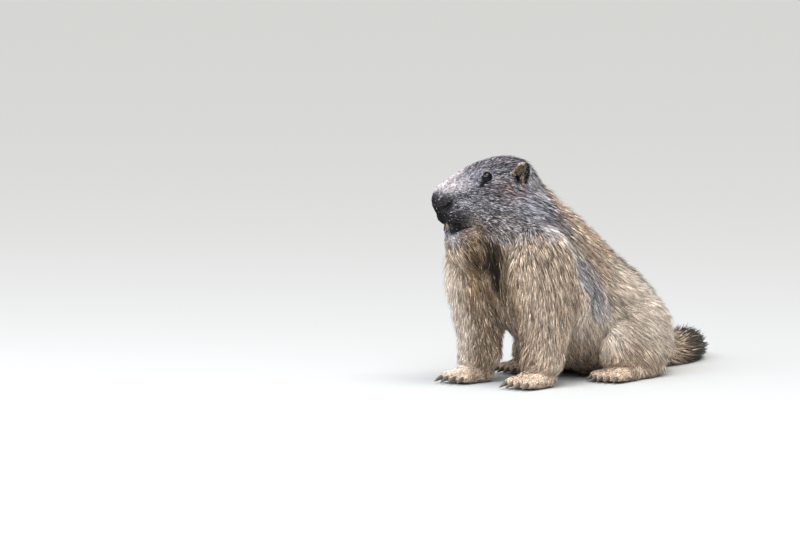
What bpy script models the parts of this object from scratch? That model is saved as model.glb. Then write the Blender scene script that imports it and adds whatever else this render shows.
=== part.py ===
"""An alpine marmot, life size, sitting up on its haunches with straight forelegs and its head held level.

The animal faces -Y, its left side is +X, and the floor is Z = 0. Sizes are in millimetres and become metres
when a mesh is made. The body is modelled whole: lofted forms are fused into one skin, the coat's locks are
fused to it, and the whole is then parted into head, neck, torso, legs and tail by cuts 0.3 mm wide.
"""

import math
import random

import bmesh
import bpy
import numpy as np
from mathutils import Matrix, Vector
from mathutils.bvhtree import BVHTree

MM = 0.001
GAP = 0.3

# The head's own frame: s runs back from the nose tip, w to the animal's left, z is the height above the floor.
HEAD_TURN = math.radians(28)
NOSE_TIP = (-51.9, -70.0)
HEAD_BACK = Vector((math.sin(HEAD_TURN), math.cos(HEAD_TURN), 0))
HEAD_LEFT = Vector((math.cos(HEAD_TURN), -math.sin(HEAD_TURN), 0))

EYE_PLACE = (52.0, 21.6, 224.5)
EYE_RADIUS = 7.2
SOCKET_RADIUS = 8.1
EYE_OUT = (-0.30, 0.92, 0.24)
LID_HALF_LENGTH = 6.0
LID_HALF_HEIGHT = 5.5
LID_FORWARD = 5.0
LID_RADIUS = 1.6
LID_CORNER = math.radians(-42)
LID_CORNER_REACH = 0.45

EAR_PLACE = (87.5, 34.0, 229.0)
EAR_RADII = (10.5, 6.6, 14.0)
EAR_CUP_RADII = (7.6, 5.6, 10.6)
EAR_CUP_SHIFT = (-3.6, 4.6, 0.5)
EAR_LEAN = math.radians(24)
EAR_SWEEP = math.radians(16)

COAT_DEPTH = 5.0
CHEEK_DEPTH = 3.0
LOCK_SEED = 16
LOCK_TRIES = 6000
LOCK_SINK = 4.5
LOCK_THICK = 4.4
LOCK_LEAST_TURN_COSINE = 0.72
TAIL_END_Y = 350.0
# Along a lock, root to tip: height (of the sunk root, then of the coat), share of its width, of its thickness.
LOCK_RINGS = ((-1.0, 0.7, 1.0), (0.25, 1.0, 1.0), (0.65, 0.74, 0.7), (1.0, 0.0, 0.0))
SKIN_VOXEL = 2.2
SKIN_TRIANGLES = 4400
LOCKED_TRIANGLES = 6100
LOFT_SIDES = 32
LOFT_STEPS = 5

FUR_TAN = (0.50, 0.40, 0.28, 1)
FUR_GREY = (0.23, 0.21, 0.20, 1)
FUR_CREAM = (0.62, 0.52, 0.38, 1)
FUR_DARK = (0.16, 0.12, 0.09, 1)
HORN = (0.09, 0.075, 0.06, 1)
NOSE_SKIN = (0.045, 0.04, 0.04, 1)
EYE_DARK = (0.012, 0.010, 0.010, 1)
TOOTH = (0.75, 0.42, 0.14, 1)


def head_point(s, w, z):
    """A point of the head's own frame, in the animal's frame."""
    return Vector((NOSE_TIP[0], NOSE_TIP[1], 0)) + HEAD_BACK * s + HEAD_LEFT * w + Vector((0, 0, z))


def head_direction(s, w, z):
    return (HEAD_BACK * s + HEAD_LEFT * w + Vector((0, 0, z))).normalized()


def clear_scene():
    for obj in list(bpy.data.objects):
        bpy.data.objects.remove(obj, do_unlink=True)


def add_object(name, mesh):
    obj = bpy.data.objects.new(name, mesh)
    bpy.context.scene.collection.objects.link(obj)
    return obj


def mesh_from(name, points, faces):
    """An object from points in millimetres."""
    mesh = bpy.data.meshes.new(name)
    mesh.from_pydata([tuple(c * MM for c in p) for p in points], [], faces)
    mesh.validate()
    return add_object(name, mesh)


def smooth_rows(rows, steps):
    """Rows of numbers, with Catmull-Rom points added between each pair."""
    rows = np.array(rows, float)
    ends = np.vstack([2 * rows[0] - rows[1], rows, 2 * rows[-1] - rows[-2]])
    made = []
    for i in range(1, len(ends) - 2):
        a, b, c, d = ends[i - 1], ends[i], ends[i + 1], ends[i + 2]
        for k in range(steps):
            t = k / steps
            made.append(
                0.5 * (2 * b + (c - a) * t + (2 * a - 5 * b + 4 * c - d) * t * t
                       + (3 * b - a - 3 * c + d) * t ** 3)
            )
    made.append(rows[-1])
    return np.array(made)


def superellipse(angle, power):
    c, s = math.cos(angle), math.sin(angle)
    return (
        math.copysign(abs(c) ** (2 / power), c),
        math.copysign(abs(s) ** (2 / power), s),
    )


def bridged(name, rings):
    """A closed object through rings of points, with a point at the middle of each end."""
    count = len(rings[0])
    points = [p for ring in rings for p in ring]
    faces = []
    for r in range(len(rings) - 1):
        for i in range(count):
            j = (i + 1) % count
            faces.append((r * count + i, r * count + j, (r + 1) * count + j, (r + 1) * count + i))
    for r, turned in ((0, True), (len(rings) - 1, False)):
        points.append(sum((Vector(p) for p in rings[r]), Vector()) / count)
        middle = len(points) - 1
        for i in range(count):
            j = (i + 1) % count
            edge = (r * count + j, r * count + i) if turned else (r * count + i, r * count + j)
            faces.append((*edge, middle))
    obj = mesh_from(name, points, faces)
    face_out(obj)
    return obj


def face_out(obj):
    """Splits the faces into triangles, so that each is flat, and turns them outwards."""
    shape = bmesh.new()
    shape.from_mesh(obj.data)
    bmesh.ops.triangulate(shape, faces=shape.faces)
    bmesh.ops.recalc_face_normals(shape, faces=shape.faces)
    if shape.calc_volume(signed=True) < 0:
        bmesh.ops.reverse_faces(shape, faces=shape.faces)
    shape.to_mesh(obj.data)
    shape.free()


def loft(name, rows, grow=0.0, sides=LOFT_SIDES, steps=LOFT_STEPS):
    """A closed limb through rows of (x, y, z, half width, half depth): the width lies across, along X,
    and the depth square to it and to the limb's own line."""
    rows = smooth_rows(rows, steps)
    middles = [Vector(r[:3]) for r in rows]
    rings = []
    for i, row in enumerate(rows):
        along = (middles[min(i + 1, len(rows) - 1)] - middles[max(i - 1, 0)]).normalized()
        across = Vector((1, 0, 0))
        across = (across - along * across.dot(along)).normalized()
        deep = along.cross(across)
        ring = []
        for k in range(sides):
            c, s = superellipse(2 * math.pi * k / sides, 2.0)
            ring.append(middles[i] + across * c * (row[3] + grow) + deep * s * (row[4] + grow))
        rings.append(ring)
    return bridged(name, rings)


def ellipsoid(name, centre, radii, turn=None, detail=3, grow=0.0):
    shape = bmesh.new()
    bmesh.ops.create_icosphere(shape, subdivisions=detail, radius=1.0)
    scale = Matrix.Diagonal((*[(r + grow) * MM for r in radii], 1))
    matrix = Matrix.Translation(Vector(centre) * MM) @ (turn or Matrix.Identity(4)) @ scale
    bmesh.ops.transform(shape, matrix=matrix, verts=shape.verts)
    mesh = bpy.data.meshes.new(name)
    shape.to_mesh(mesh)
    shape.free()
    return add_object(name, mesh)


def head_turn_matrix():
    """Turns X to the head's left and Y to the head's back."""
    return Matrix((HEAD_LEFT, HEAD_BACK, Vector((0, 0, 1)))).transposed().to_4x4()


def head_ellipsoid(name, place, radii, grow=0.0, detail=3):
    """An ellipsoid set in the head's frame, its radii along s, w and z."""
    return ellipsoid(name, head_point(*place), (radii[1], radii[0], radii[2]),
                     head_turn_matrix(), detail, grow)


# Head sections from the nose tip back: s, top, widest height, bottom, half width, squareness.
SKULL_ROWS = (
    (0.0, 206.0, 200.0, 193.0, 8.5, 2.2),
    (4.0, 212.5, 199.0, 187.0, 13.0, 2.3),
    (10.0, 218.5, 197.0, 179.5, 17.0, 2.4),
    (18.0, 224.0, 195.0, 173.0, 20.5, 2.5),
    (28.0, 229.5, 194.0, 169.0, 24.0, 2.5),
    (40.0, 235.5, 194.0, 163.0, 28.0, 2.4),
    (52.0, 240.5, 196.0, 158.0, 33.0, 2.3),
    (66.0, 243.5, 197.0, 153.0, 38.0, 2.2),
    (80.0, 245.0, 196.0, 150.0, 41.0, 2.2),
    (94.0, 243.0, 194.0, 148.0, 41.0, 2.1),
    (106.0, 237.0, 192.0, 150.0, 38.0, 2.0),
    (116.0, 227.0, 190.0, 156.0, 32.0, 2.0),
)
JAW_ROWS = (
    (15.0, 171.0, 168.0, 164.5, 6.0, 2.0),
    (19.0, 173.5, 168.0, 162.0, 10.5, 2.1),
    (28.0, 176.0, 168.0, 159.0, 15.0, 2.2),
    (40.0, 178.0, 168.0, 155.0, 19.0, 2.2),
    (54.0, 180.0, 168.0, 150.0, 25.0, 2.2),
    (70.0, 182.0, 168.0, 146.0, 30.0, 2.2),
)


def head_loft(name, rows):
    rings = []
    for s, top, middle, bottom, width, power in smooth_rows(rows, LOFT_STEPS):
        ring = []
        for k in range(LOFT_SIDES):
            c, n = superellipse(2 * math.pi * k / LOFT_SIDES, power)
            height = middle + n * ((top - middle) if n > 0 else (middle - bottom))
            ring.append(head_point(s, c * width, height))
        rings.append(ring)
    return bridged(name, rings)


# Spine rows from inside the head to the rump: x, y, z, half width, half depth.
TRUNK_ROWS = (
    (-8.0, -2.0, 206.0, 38.0, 42.0),
    (-6.0, 6.0, 186.0, 48.0, 51.0),
    (-4.0, 14.0, 165.0, 56.0, 60.0),
    (-1.0, 29.0, 141.0, 64.0, 67.0),
    (0.0, 51.0, 116.0, 69.0, 72.0),
    (0.0, 83.0, 93.0, 71.0, 71.0),
    (0.0, 116.0, 75.0, 72.0, 67.0),
    (0.0, 150.0, 60.0, 71.0, 61.0),
    (0.0, 181.0, 46.0, 64.0, 51.0),
    (0.0, 205.0, 36.0, 52.0, 40.0),
    (0.0, 225.0, 31.0, 36.0, 27.0),
    (0.0, 238.0, 28.0, 16.0, 14.0),
)
TAIL_ROWS = (
    (0.0, 222.0, 34.0, 26.0, 24.0),
    (-2.0, 246.0, 25.0, 20.0, 19.0),
    (-6.0, 270.0, 17.5, 18.0, 18.0),
    (-16.0, 300.0, 16.0, 20.0, 18.0),
    (-32.0, 330.0, 15.0, 20.0, 17.0),
    (-50.0, 356.0, 13.0, 16.0, 14.0),
    (-62.0, 374.0, 11.0, 9.0, 9.0),
    (-68.0, 383.0, 10.0, 3.0, 3.0),
)
# One foreleg, for the left side: x, y, z, half width, half depth.
FORELEG_ROWS = (
    (36.0, 9.0, 165.0, 22.0, 26.0),
    (41.5, 1.0, 151.0, 31.0, 36.0),
    (45.0, -3.0, 132.0, 36.0, 40.0),
    (47.0, -3.0, 105.0, 34.0, 39.0),
    (47.0, -1.0, 80.0, 30.5, 34.0),
    (46.0, -2.0, 55.0, 27.0, 29.0),
    (45.0, -4.0, 34.0, 24.0, 24.5),
    (45.0, -7.0, 18.0, 19.0, 18.5),
    (45.0, -9.0, 6.0, 16.0, 16.0),
)
FOREPAW_ROWS = (
    (45.0, 6.0, 10.0, 14.0, 10.0),
    (45.0, -8.0, 10.0, 17.0, 11.0),
    (46.0, -22.0, 9.0, 18.5, 10.0),
    (46.5, -32.0, 7.5, 17.0, 8.0),
    (47.0, -37.0, 6.5, 12.0, 5.0),
)
HINDFOOT_ROWS = (
    (60.0, 160.0, 9.0, 9.0, 8.0),
    (61.0, 148.0, 10.0, 12.0, 11.0),
    (63.0, 124.0, 10.0, 14.0, 11.0),
    (66.0, 102.0, 9.0, 17.0, 10.0),
    (67.0, 88.0, 8.0, 18.0, 8.5),
    (67.5, 82.0, 7.0, 14.0, 6.0),
)
# Rounded forms on both sides of the head and of the body: name, place, radii.
HEAD_ROUNDS = (
    ("cheek", (66, 25, 182), (34, 17.5, 28)),
    ("whisker_pad", (17, 10, 185), (12.5, 10.5, 11.5)),
    ("brow", (52, 19.5, 229.5), (10, 6, 4)),
    ("lower_lip", (22, 8, 168.5), (9, 6.5, 4.2)),
)
BODY_ROUNDS = (
    ("elbow", (52, 30, 96), (24, 32, 34)),
    ("haunch", (54, 142, 47), (27, 56, 45)),
    ("knee", (63, 104, 38), (19, 24, 30)),
    ("heel", (59, 158, 18), (14, 18, 18)),
)
# The full fur under the chin, a little to the side that the head is turned to.
RUFF_PLACE = (-26.0, -23.0, 152.0)
RUFF_RADII = (41.0, 42.0, 30.0)
FORE_TOES = 4
FORE_TOE_SPREAD = 8.8
FORE_TOE_START = (46.5, -29.0, 7.5)
FORE_TOE_LENGTH = 21.0
FORE_TOE_RADIUS = 5.0
HIND_TOES = 5
HIND_TOE_SPREAD = 7.8
HIND_TOE_START = (67.0, 90.0, 7.0)
HIND_TOE_LENGTH = 22.0
HIND_TOE_RADIUS = 4.7
CLAW_LENGTH = 16.0
CLAW_RADIUS = 2.5
CLAW_ROOT = 5.0


def mirrored(rows, side):
    """Rows for the left side (side 1) or the right one (side -1)."""
    return [(r[0] * side, *r[1:]) for r in rows]


def toe_plan(start, count, spread, length, side):
    """For each toe of a foot: its root and its tip, fanned a little, the middle ones longest."""
    plan = []
    for i in range(count):
        across = i - (count - 1) / 2
        reach = length * (1.0 - 0.05 * across * across)
        root = Vector((side * start[0] + across * spread, start[1], start[2]))
        tip = root + Vector((across * 1.3, -reach, -1.3))
        plan.append((root, tip))
    return plan


def toe_form(name, root, tip, radius):
    rows = []
    for share, size in ((-0.35, 0.8), (0.0, 1.0), (0.35, 1.0), (0.65, 0.98), (0.86, 0.82), (1.0, 0.45)):
        place = root.lerp(tip, share)
        rows.append((place.x, place.y, place.z + 1.2 * math.sin(math.pi * max(share, 0)), radius * size,
                     radius * size))
    return loft(name, rows, sides=16, steps=2)


def claw_form(name, root, tip, grow=0.0, length=CLAW_LENGTH):
    """A claw: a tapered horn that leaves the toe's tip and bends down to the floor."""
    ahead = (tip - root).normalized()
    start = tip - ahead * (CLAW_ROOT + 1.0 + grow) + Vector((0, 0, 1.2))
    rows = []
    for share, size in ((0.0, 0.9), (0.4, 1.0), (0.78, 0.55), (1.0, 0.14)):
        place = start + ahead * length * share + Vector((0, 0, -3.9 * share ** 1.7))
        rows.append((place.x, place.y, place.z, CLAW_RADIUS * size * 0.8, CLAW_RADIUS * size))
    return loft(name, rows, grow=grow, sides=5, steps=1)


def all_toes():
    """(node name of the claw, toe root, toe tip, toe radius, claw length) of every toe."""
    toes = []
    for side, word in ((1, "left"), (-1, "right")):
        feet = (
            ("fore", FORE_TOE_START, FORE_TOES, FORE_TOE_SPREAD, FORE_TOE_LENGTH, FORE_TOE_RADIUS, 1.0),
            ("hind", HIND_TOE_START, HIND_TOES, HIND_TOE_SPREAD, HIND_TOE_LENGTH, HIND_TOE_RADIUS, 0.85),
        )
        for foot, start, count, spread, length, radius, share in feet:
            for i, (root, tip) in enumerate(toe_plan(start, count, spread, length, side)):
                toes.append((f"claw_{foot}_{word}_{i + 1}", root, tip, radius, CLAW_LENGTH * share))
    return toes


def core_forms():
    """Every lofted or rounded form of the body, overlapping its neighbours."""
    made = [
        head_loft("skull", SKULL_ROWS),
        head_loft("jaw", JAW_ROWS),
        loft("trunk", TRUNK_ROWS),
        loft("tail_form", TAIL_ROWS),
        ellipsoid("ruff", RUFF_PLACE, RUFF_RADII),
    ]
    for side in (1, -1):
        for name, (s, w, z), radii in HEAD_ROUNDS:
            made.append(head_ellipsoid(name, (s, w * side, z), radii))
        for name, (x, y, z), radii in BODY_ROUNDS:
            made.append(ellipsoid(name, (x * side, y, z), radii))
        made.append(loft("foreleg_form", mirrored(FORELEG_ROWS, side)))
        made.append(loft("forepaw_form", mirrored(FOREPAW_ROWS, side)))
        made.append(loft("hindfoot_form", mirrored(HINDFOOT_ROWS, side)))
    for _, root, tip, radius, _ in all_toes():
        made.append(toe_form("toe", root, tip, radius))
    return made


def joined(name, objects):
    """One object with all the meshes, which stay as they lie."""
    shape = bmesh.new()
    for obj in objects:
        shape.from_mesh(obj.data)
        bpy.data.objects.remove(obj)
    mesh = bpy.data.meshes.new(name)
    shape.to_mesh(mesh)
    shape.free()
    return add_object(name, mesh)


def bake(obj):
    """Applies the object's modifiers."""
    graph = bpy.context.evaluated_depsgraph_get()
    graph.update()
    mesh = bpy.data.meshes.new_from_object(obj.evaluated_get(graph))
    obj.modifiers.clear()
    obj.data = mesh
    return obj


SMOOTH_PASSES = 14
MUZZLE_SMOOTHING = 0.35
PAW_SMOOTHING = 0.25


def ramp(value, start, end):
    """0 at start, 1 at end, and straight between them."""
    return max(0.0, min(1.0, (value - start) / (end - start)))


def smoothing_weight(p):
    """How much a point of the skin is smoothed: fully on the trunk and cheeks, less on the muzzle and paws."""
    if p.z > 150 and p.y < 20:
        s = (p - head_point(0, 0, p.z)).dot(HEAD_BACK)
        return MUZZLE_SMOOTHING + (1 - MUZZLE_SMOOTHING) * ramp(s, 20, 55)
    if p.z < 26 and p.y < 100:
        return PAW_SMOOTHING
    return 1.0


def fused_skin():
    """All the forms as one smooth closed skin."""
    skin = joined("skin", core_forms())
    remesh = skin.modifiers.new("fuse", "REMESH")
    remesh.mode = "VOXEL"
    remesh.voxel_size = SKIN_VOXEL * MM
    bake(skin)
    group = skin.vertex_groups.new(name="soft")
    for v in skin.data.vertices:
        group.add([v.index], smoothing_weight(v.co / MM), "REPLACE")
    smooth = skin.modifiers.new("smooth", "SMOOTH")
    smooth.factor = 0.5
    smooth.iterations = SMOOTH_PASSES
    smooth.vertex_group = "soft"
    bake(skin)
    skin.vertex_groups.clear()
    return skin


def sunk_to_core(skin):
    """Moves the skin in from the tips of the coat to the core that the locks grow from."""
    normals = [v.normal.copy() for v in skin.data.vertices]
    for v, normal in zip(skin.data.vertices, normals):
        v.co -= normal * coat_depth(v.co / MM) * MM


def thinned(skin, triangles):
    skin.modifiers.new("split", "TRIANGULATE")
    bake(skin)
    reduce = skin.modifiers.new("thin", "DECIMATE")
    reduce.ratio = triangles / len(skin.data.polygons)
    return bake(skin)


def boolean(obj, other, operation):
    """Cuts or joins an object, or a collection of objects, and removes them."""
    cut = obj.modifiers.new("cut", "BOOLEAN")
    cut.operation = operation
    cut.solver = "MANIFOLD"
    if isinstance(other, bpy.types.Collection):
        cut.operand_type = "COLLECTION"
        cut.collection = other
    else:
        cut.object = other
    bake(obj)
    if isinstance(other, bpy.types.Collection):
        for piece in list(other.objects):
            bpy.data.objects.remove(piece)
        bpy.data.collections.remove(other)
    else:
        bpy.data.objects.remove(other)
    return obj


def in_collection(name, objects):
    group = bpy.data.collections.new(name)
    bpy.context.scene.collection.children.link(group)
    for obj in objects:
        bpy.context.scene.collection.objects.unlink(obj)
        group.objects.link(obj)
    return group


def largest_body(obj):
    """Keeps only the object's largest closed surface."""
    shape = bmesh.new()
    shape.from_mesh(obj.data)
    shape.verts.ensure_lookup_table()
    seen = set()
    bodies = []
    for start in shape.verts:
        if start.index in seen:
            continue
        stack, body = [start], []
        seen.add(start.index)
        while stack:
            v = stack.pop()
            body.append(v)
            for edge in v.link_edges:
                other = edge.other_vert(v)
                if other.index not in seen:
                    seen.add(other.index)
                    stack.append(other)
        bodies.append(body)
    bodies.sort(key=len, reverse=True)
    for body in bodies[1:]:
        bmesh.ops.delete(shape, geom=body, context="VERTS")
    shape.to_mesh(obj.data)
    shape.free()
    return obj


def ear_form(name, side, grow=0.0, cup=True, detail=3):
    """A rounded ear, hollowed on its outer front side, leaning out and back."""
    lean = Matrix.Rotation(EAR_LEAN * side, 4, "Y") @ Matrix.Rotation(-EAR_SWEEP, 4, "X")
    turn = head_turn_matrix() @ lean
    s, w, z = EAR_PLACE
    centre = head_point(s, w * side, z)
    body = ellipsoid(name, centre, (EAR_RADII[1], EAR_RADII[0], EAR_RADII[2]), turn, detail, grow)
    if cup:
        shift = turn @ Vector((EAR_CUP_SHIFT[1] * side, EAR_CUP_SHIFT[0], EAR_CUP_SHIFT[2]))
        hollow = ellipsoid("cup", centre + shift, (EAR_CUP_RADII[1], EAR_CUP_RADII[0], EAR_CUP_RADII[2]),
                           turn, detail)
        boolean(body, hollow, "DIFFERENCE")
    return body


def eye_centre(side):
    s, w, z = EYE_PLACE
    return head_point(s, w * side, z)


def eye_axes(side):
    """(outwards, forwards along the lids, upwards across them) of an eye."""
    out = head_direction(EYE_OUT[0], EYE_OUT[1] * side, EYE_OUT[2])
    along = head_direction(-1.0, 0.0, -0.22)
    along = (along - out * along.dot(out)).normalized()
    up = out.cross(along)
    if up.z < 0:
        up = -up
    return out, along, up


def lid_ring(name, side):
    """The rim of the two lids, a soft ring that lies on the front of the eyeball."""
    out, along, up = eye_axes(side)
    centre = eye_centre(side) + out * LID_FORWARD
    rings = []
    steps, sides = 16, 6
    for i in range(steps):
        angle = 2 * math.pi * i / steps
        corner = max(0.0, math.cos(angle - LID_CORNER)) ** 8
        spoke = along * math.cos(angle) * LID_HALF_LENGTH + up * math.sin(angle) * LID_HALF_HEIGHT
        spoke *= 1.0 + LID_CORNER_REACH * corner
        radial = spoke.normalized()
        thick = LID_RADIUS * (1.15 if math.sin(angle) > 0 else 0.95)
        middle = centre + spoke - out * 0.09 * (spoke.length - LID_HALF_HEIGHT) ** 2
        rings.append([
            middle + radial * math.cos(a) * thick + out * math.sin(a) * thick
            for a in [2 * math.pi * k / sides for k in range(sides)]
        ])
    points = [p for ring in rings for p in ring]
    faces = []
    for r in range(steps):
        n = (r + 1) % steps
        for k in range(sides):
            m = (k + 1) % sides
            faces.append((r * sides + k, r * sides + m, n * sides + m, n * sides + k))
    ring = mesh_from(name, points, faces)
    face_out(ring)
    return ring


# The line of the mouth, from the middle of the lips to a corner: s, half width, height of the line.
MOUTH_ROWS = (
    (9.0, 0.0, 173.0),
    (11.0, 7.0, 173.0),
    (17.0, 13.5, 172.5),
    (26.0, 18.5, 172.0),
    (34.0, 22.0, 173.0),
    (40.0, 25.0, 175.0),
)
MOUTH_DEPTH = 6.0
MOUTH_OPEN = 1.5


def mouth_cutter():
    """A wedge that follows the line of the mouth round the muzzle, open outwards and sharp inwards."""
    half = smooth_rows(MOUTH_ROWS, 2)
    line = [(s, -w, z) for s, w, z in half[:0:-1]] + [tuple(r) for r in half]
    rings = []
    for i, (s, w, z) in enumerate(line):
        ahead = np.array(line[min(i + 1, len(line) - 1)]) - np.array(line[max(i - 1, 0)])
        inward = Vector((ahead[1], -ahead[0], 0)).normalized()
        middle = Vector((50.0, 0.0, 0.0)) - Vector((s, w, 0))
        if inward.dot(middle) < 0:
            inward = -inward
        end = abs(i - (len(line) - 1) / 2) / ((len(line) - 1) / 2)
        opening = MOUTH_OPEN * (1.0 - 0.75 * end ** 2)
        outer = Vector((s, w, z)) - inward * 8.0
        inner = Vector((s, w, z + 0.6)) + inward * MOUTH_DEPTH * (1.0 - 0.4 * end ** 3)
        flare = opening * 1.7
        rings.append([
            head_point(outer.x, outer.y, outer.z - flare),
            head_point(outer.x, outer.y, outer.z + flare),
            head_point(inner.x, inner.y, inner.z + 0.25),
            head_point(inner.x, inner.y, inner.z - 0.25),
        ])
    return bridged("mouth", rings)


def nostril_cutter(side):
    """A comma-shaped nostril: wide in front, and drawn out into a slit that bends back and up."""
    rows = ((1.5, 10.5, 191.5, 1.5), (4.5, 12.5, 192.0, 2.4), (8.5, 15.0, 193.5, 2.2), (11.5, 17.0, 197.0, 1.5),
            (12.0, 17.5, 201.0, 0.8))
    made = []
    for s, w, z, radius in rows:
        place = head_point(s, w * side, z)
        made.append((place.x, place.y, place.z, radius, radius * 1.15))
    return loft("nostril", made, sides=10, steps=2)


def philtrum_cutter():
    """The cleft from between the nostrils down to the mouth."""
    rings = []
    for s, z in ((-4.0, 197.0), (-1.0, 190.0), (3.0, 182.0), (8.0, 174.0)):
        deep = 5.0 if z < 193 else 2.5
        rings.append([
            head_point(s - 6.0, 2.6, z),
            head_point(s - 6.0, -2.6, z),
            head_point(s + deep, 0.0, z),
        ])
    return bridged("philtrum", rings)


TOOTH_WIDTH = 7.0
TOOTH_THICK = 2.4
TOOTH_TOP = 180.0
TOOTH_LENGTH = 11.5
TOOTH_S = 13.5


def incisor_form(name, grow=0.0):
    """The two upper incisors, side by side, with a groove between them at the front."""
    half, back = TOOTH_WIDTH / 2 + grow, TOOTH_THICK + grow
    outline = [(-half, 0.6), (-half * 0.5, -grow), (0.0, 0.5 - grow), (half * 0.5, -grow), (half, 0.6),
               (half, back), (-half, back)]
    rings = []
    for share in (0.0, 0.5, 0.86, 1.0):
        z = TOOTH_TOP + grow - (TOOTH_LENGTH + 2 * grow) * share
        lean = 1.5 * share
        rings.append([head_point(TOOTH_S + lean + s, w * (1.0 - 0.12 * share), z) for w, s in outline])
    return bridged(name, rings)


def floor_cutter():
    return box("floor", (-400, -400, -200), (400, 800, 0))


def box(name, low, high):
    shape = bmesh.new()
    bmesh.ops.create_cube(shape, size=1.0)
    size = Vector(high) - Vector(low)
    middle = (Vector(high) + Vector(low)) / 2
    matrix = Matrix.Translation(middle * MM) @ Matrix.Diagonal((*(size * MM), 1))
    bmesh.ops.transform(shape, matrix=matrix, verts=shape.verts)
    mesh = bpy.data.meshes.new(name)
    shape.to_mesh(mesh)
    shape.free()
    return add_object(name, mesh)


# The lie of the coat: lines along which the hair flows, on the left side. Each is a run of points, and
# the ones marked True are repeated on the right.
HEAD_LINES = (
    ((8, 0, 214), (40, 0, 236), (80, 0, 246), (112, 0, 236)),
    ((12, 16, 190), (45, 30, 190), (80, 44, 184), (104, 44, 172)),
    ((12, -16, 190), (45, -30, 190), (80, -44, 184), (104, -44, 172)),
    ((30, 26, 214), (70, 38, 222), (104, 38, 214)),
    ((30, -26, 214), (70, -38, 222), (104, -38, 214)),
    ((18, 0, 160), (45, 0, 152), (70, 0, 140)),
)
BODY_LINES = (
    (((-16, 30, 232), (-6, 70, 206), (0, 110, 160), (0, 160, 116), (0, 205, 76), (0, 236, 46)), False),
    (((-6, 240, 42), (-10, 275, 34), (-30, 320, 32), (-55, 362, 24)), False),
    (((-8, 240, 10), (-14, 275, 4), (-34, 320, 3), (-60, 366, 3)), False),
    (((16, 268, 20), (2, 305, 18), (-18, 345, 15), (-56, 374, 12)), False),
    (((-30, 262, 20), (-40, 300, 18), (-60, 340, 15), (-72, 374, 12)), False),
    (((0, -42, 160), (0, -38, 120), (0, -22, 84), (0, 20, 44), (0, 90, 12), (0, 150, 2)), False),
    (((38, 34, 192), (62, 60, 150), (72, 92, 112), (74, 130, 80), (72, 170, 40), (60, 205, 20)), True),
    (((58, 20, 168), (74, 44, 128), (76, 66, 84), (68, 90, 40)), True),
    (((40, -24, 172), (60, -30, 140), (66, -26, 100), (60, -24, 60), (54, -22, 30)), True),
    (((62, 16, 150), (82, 14, 112), (78, 16, 76), (66, 14, 36)), True),
    (((24, -34, 150), (20, -30, 110), (20, -22, 70), (26, -16, 34)), True),
    (((66, 96, 92), (84, 128, 70), (84, 160, 44), (74, 186, 16)), True),
    (((70, 84, 66), (84, 104, 44), (80, 132, 20)), True),
    (((44, 62, 180), (44, 104, 146), (46, 150, 108), (44, 196, 72), (34, 226, 40)), True),
)


def flow_segments():
    """(middle, direction, length) of each stretch of the lines, in the animal's frame."""
    lines = [[head_point(*p) for p in line] for line in HEAD_LINES]
    for line, both in BODY_LINES:
        lines.append([Vector(p) for p in line])
        if both:
            lines.append([Vector((-p[0], p[1], p[2])) for p in line])
    found = []
    for line in lines:
        for a, b in zip(line, line[1:]):
            found.append((a, b, (b - a).normalized()))
    return found


def distance_to_segment(p, a, b):
    along = b - a
    share = max(0.0, min(1.0, (p - a).dot(along) / along.length_squared))
    return (p - (a + along * share)).length


def lie(p, segments):
    """The way the hair points at p: the near lines' directions, each weighed by its nearness."""
    total = Vector()
    for a, b, direction in segments:
        total += direction / (6.0 + distance_to_segment(p, a, b)) ** 4
    return total.normalized()


def head_part(p):
    """(how far back on the head a point is, along s, how surely it belongs to the head, 0 to 1)."""
    s = (p - head_point(0, 0, p.z)).dot(HEAD_BACK)
    underside = 150 + 0.10 * max(0.0, s - 40)
    return s, ramp(p.z - underside, 0, 14) * ramp(120 - s, 0, 14)


def coat_depth(p):
    """How deep the core lies under the tips of the coat."""
    s, head = head_part(p)
    cheek = CHEEK_DEPTH * ramp(s, 50, 80) * ramp(222 - p.z, 0, 16)
    body = COAT_DEPTH
    if p.y < 215:
        body *= ramp(p.z, 20, 40)
    return cheek * head + body * (1 - head)


def lock_size(p):
    """(length, width, share of the coat's height, spacing) of a lock rooted at p, or None where none grows."""
    s, head = head_part(p)
    if head > 0.5:
        if s < 60 or p.z > 208:
            return None
        return 30.0, 19.0, 0.8, 20.0
    if p.y > 345:
        return 26.0, 20.0, 1.0, 18.0
    if p.y > 236:
        return 50.0, 24.0, 1.0, 24.0
    if p.z < 34 and p.y < 200:
        return None
    if p.z < 120 and p.y < 34:
        return 40.0, 26.0, 0.9, 26.0
    if p.z > 150:
        return 46.0, 28.0, 1.0, 26.0
    return 60.0, 35.0, 1.0, 31.0


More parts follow.
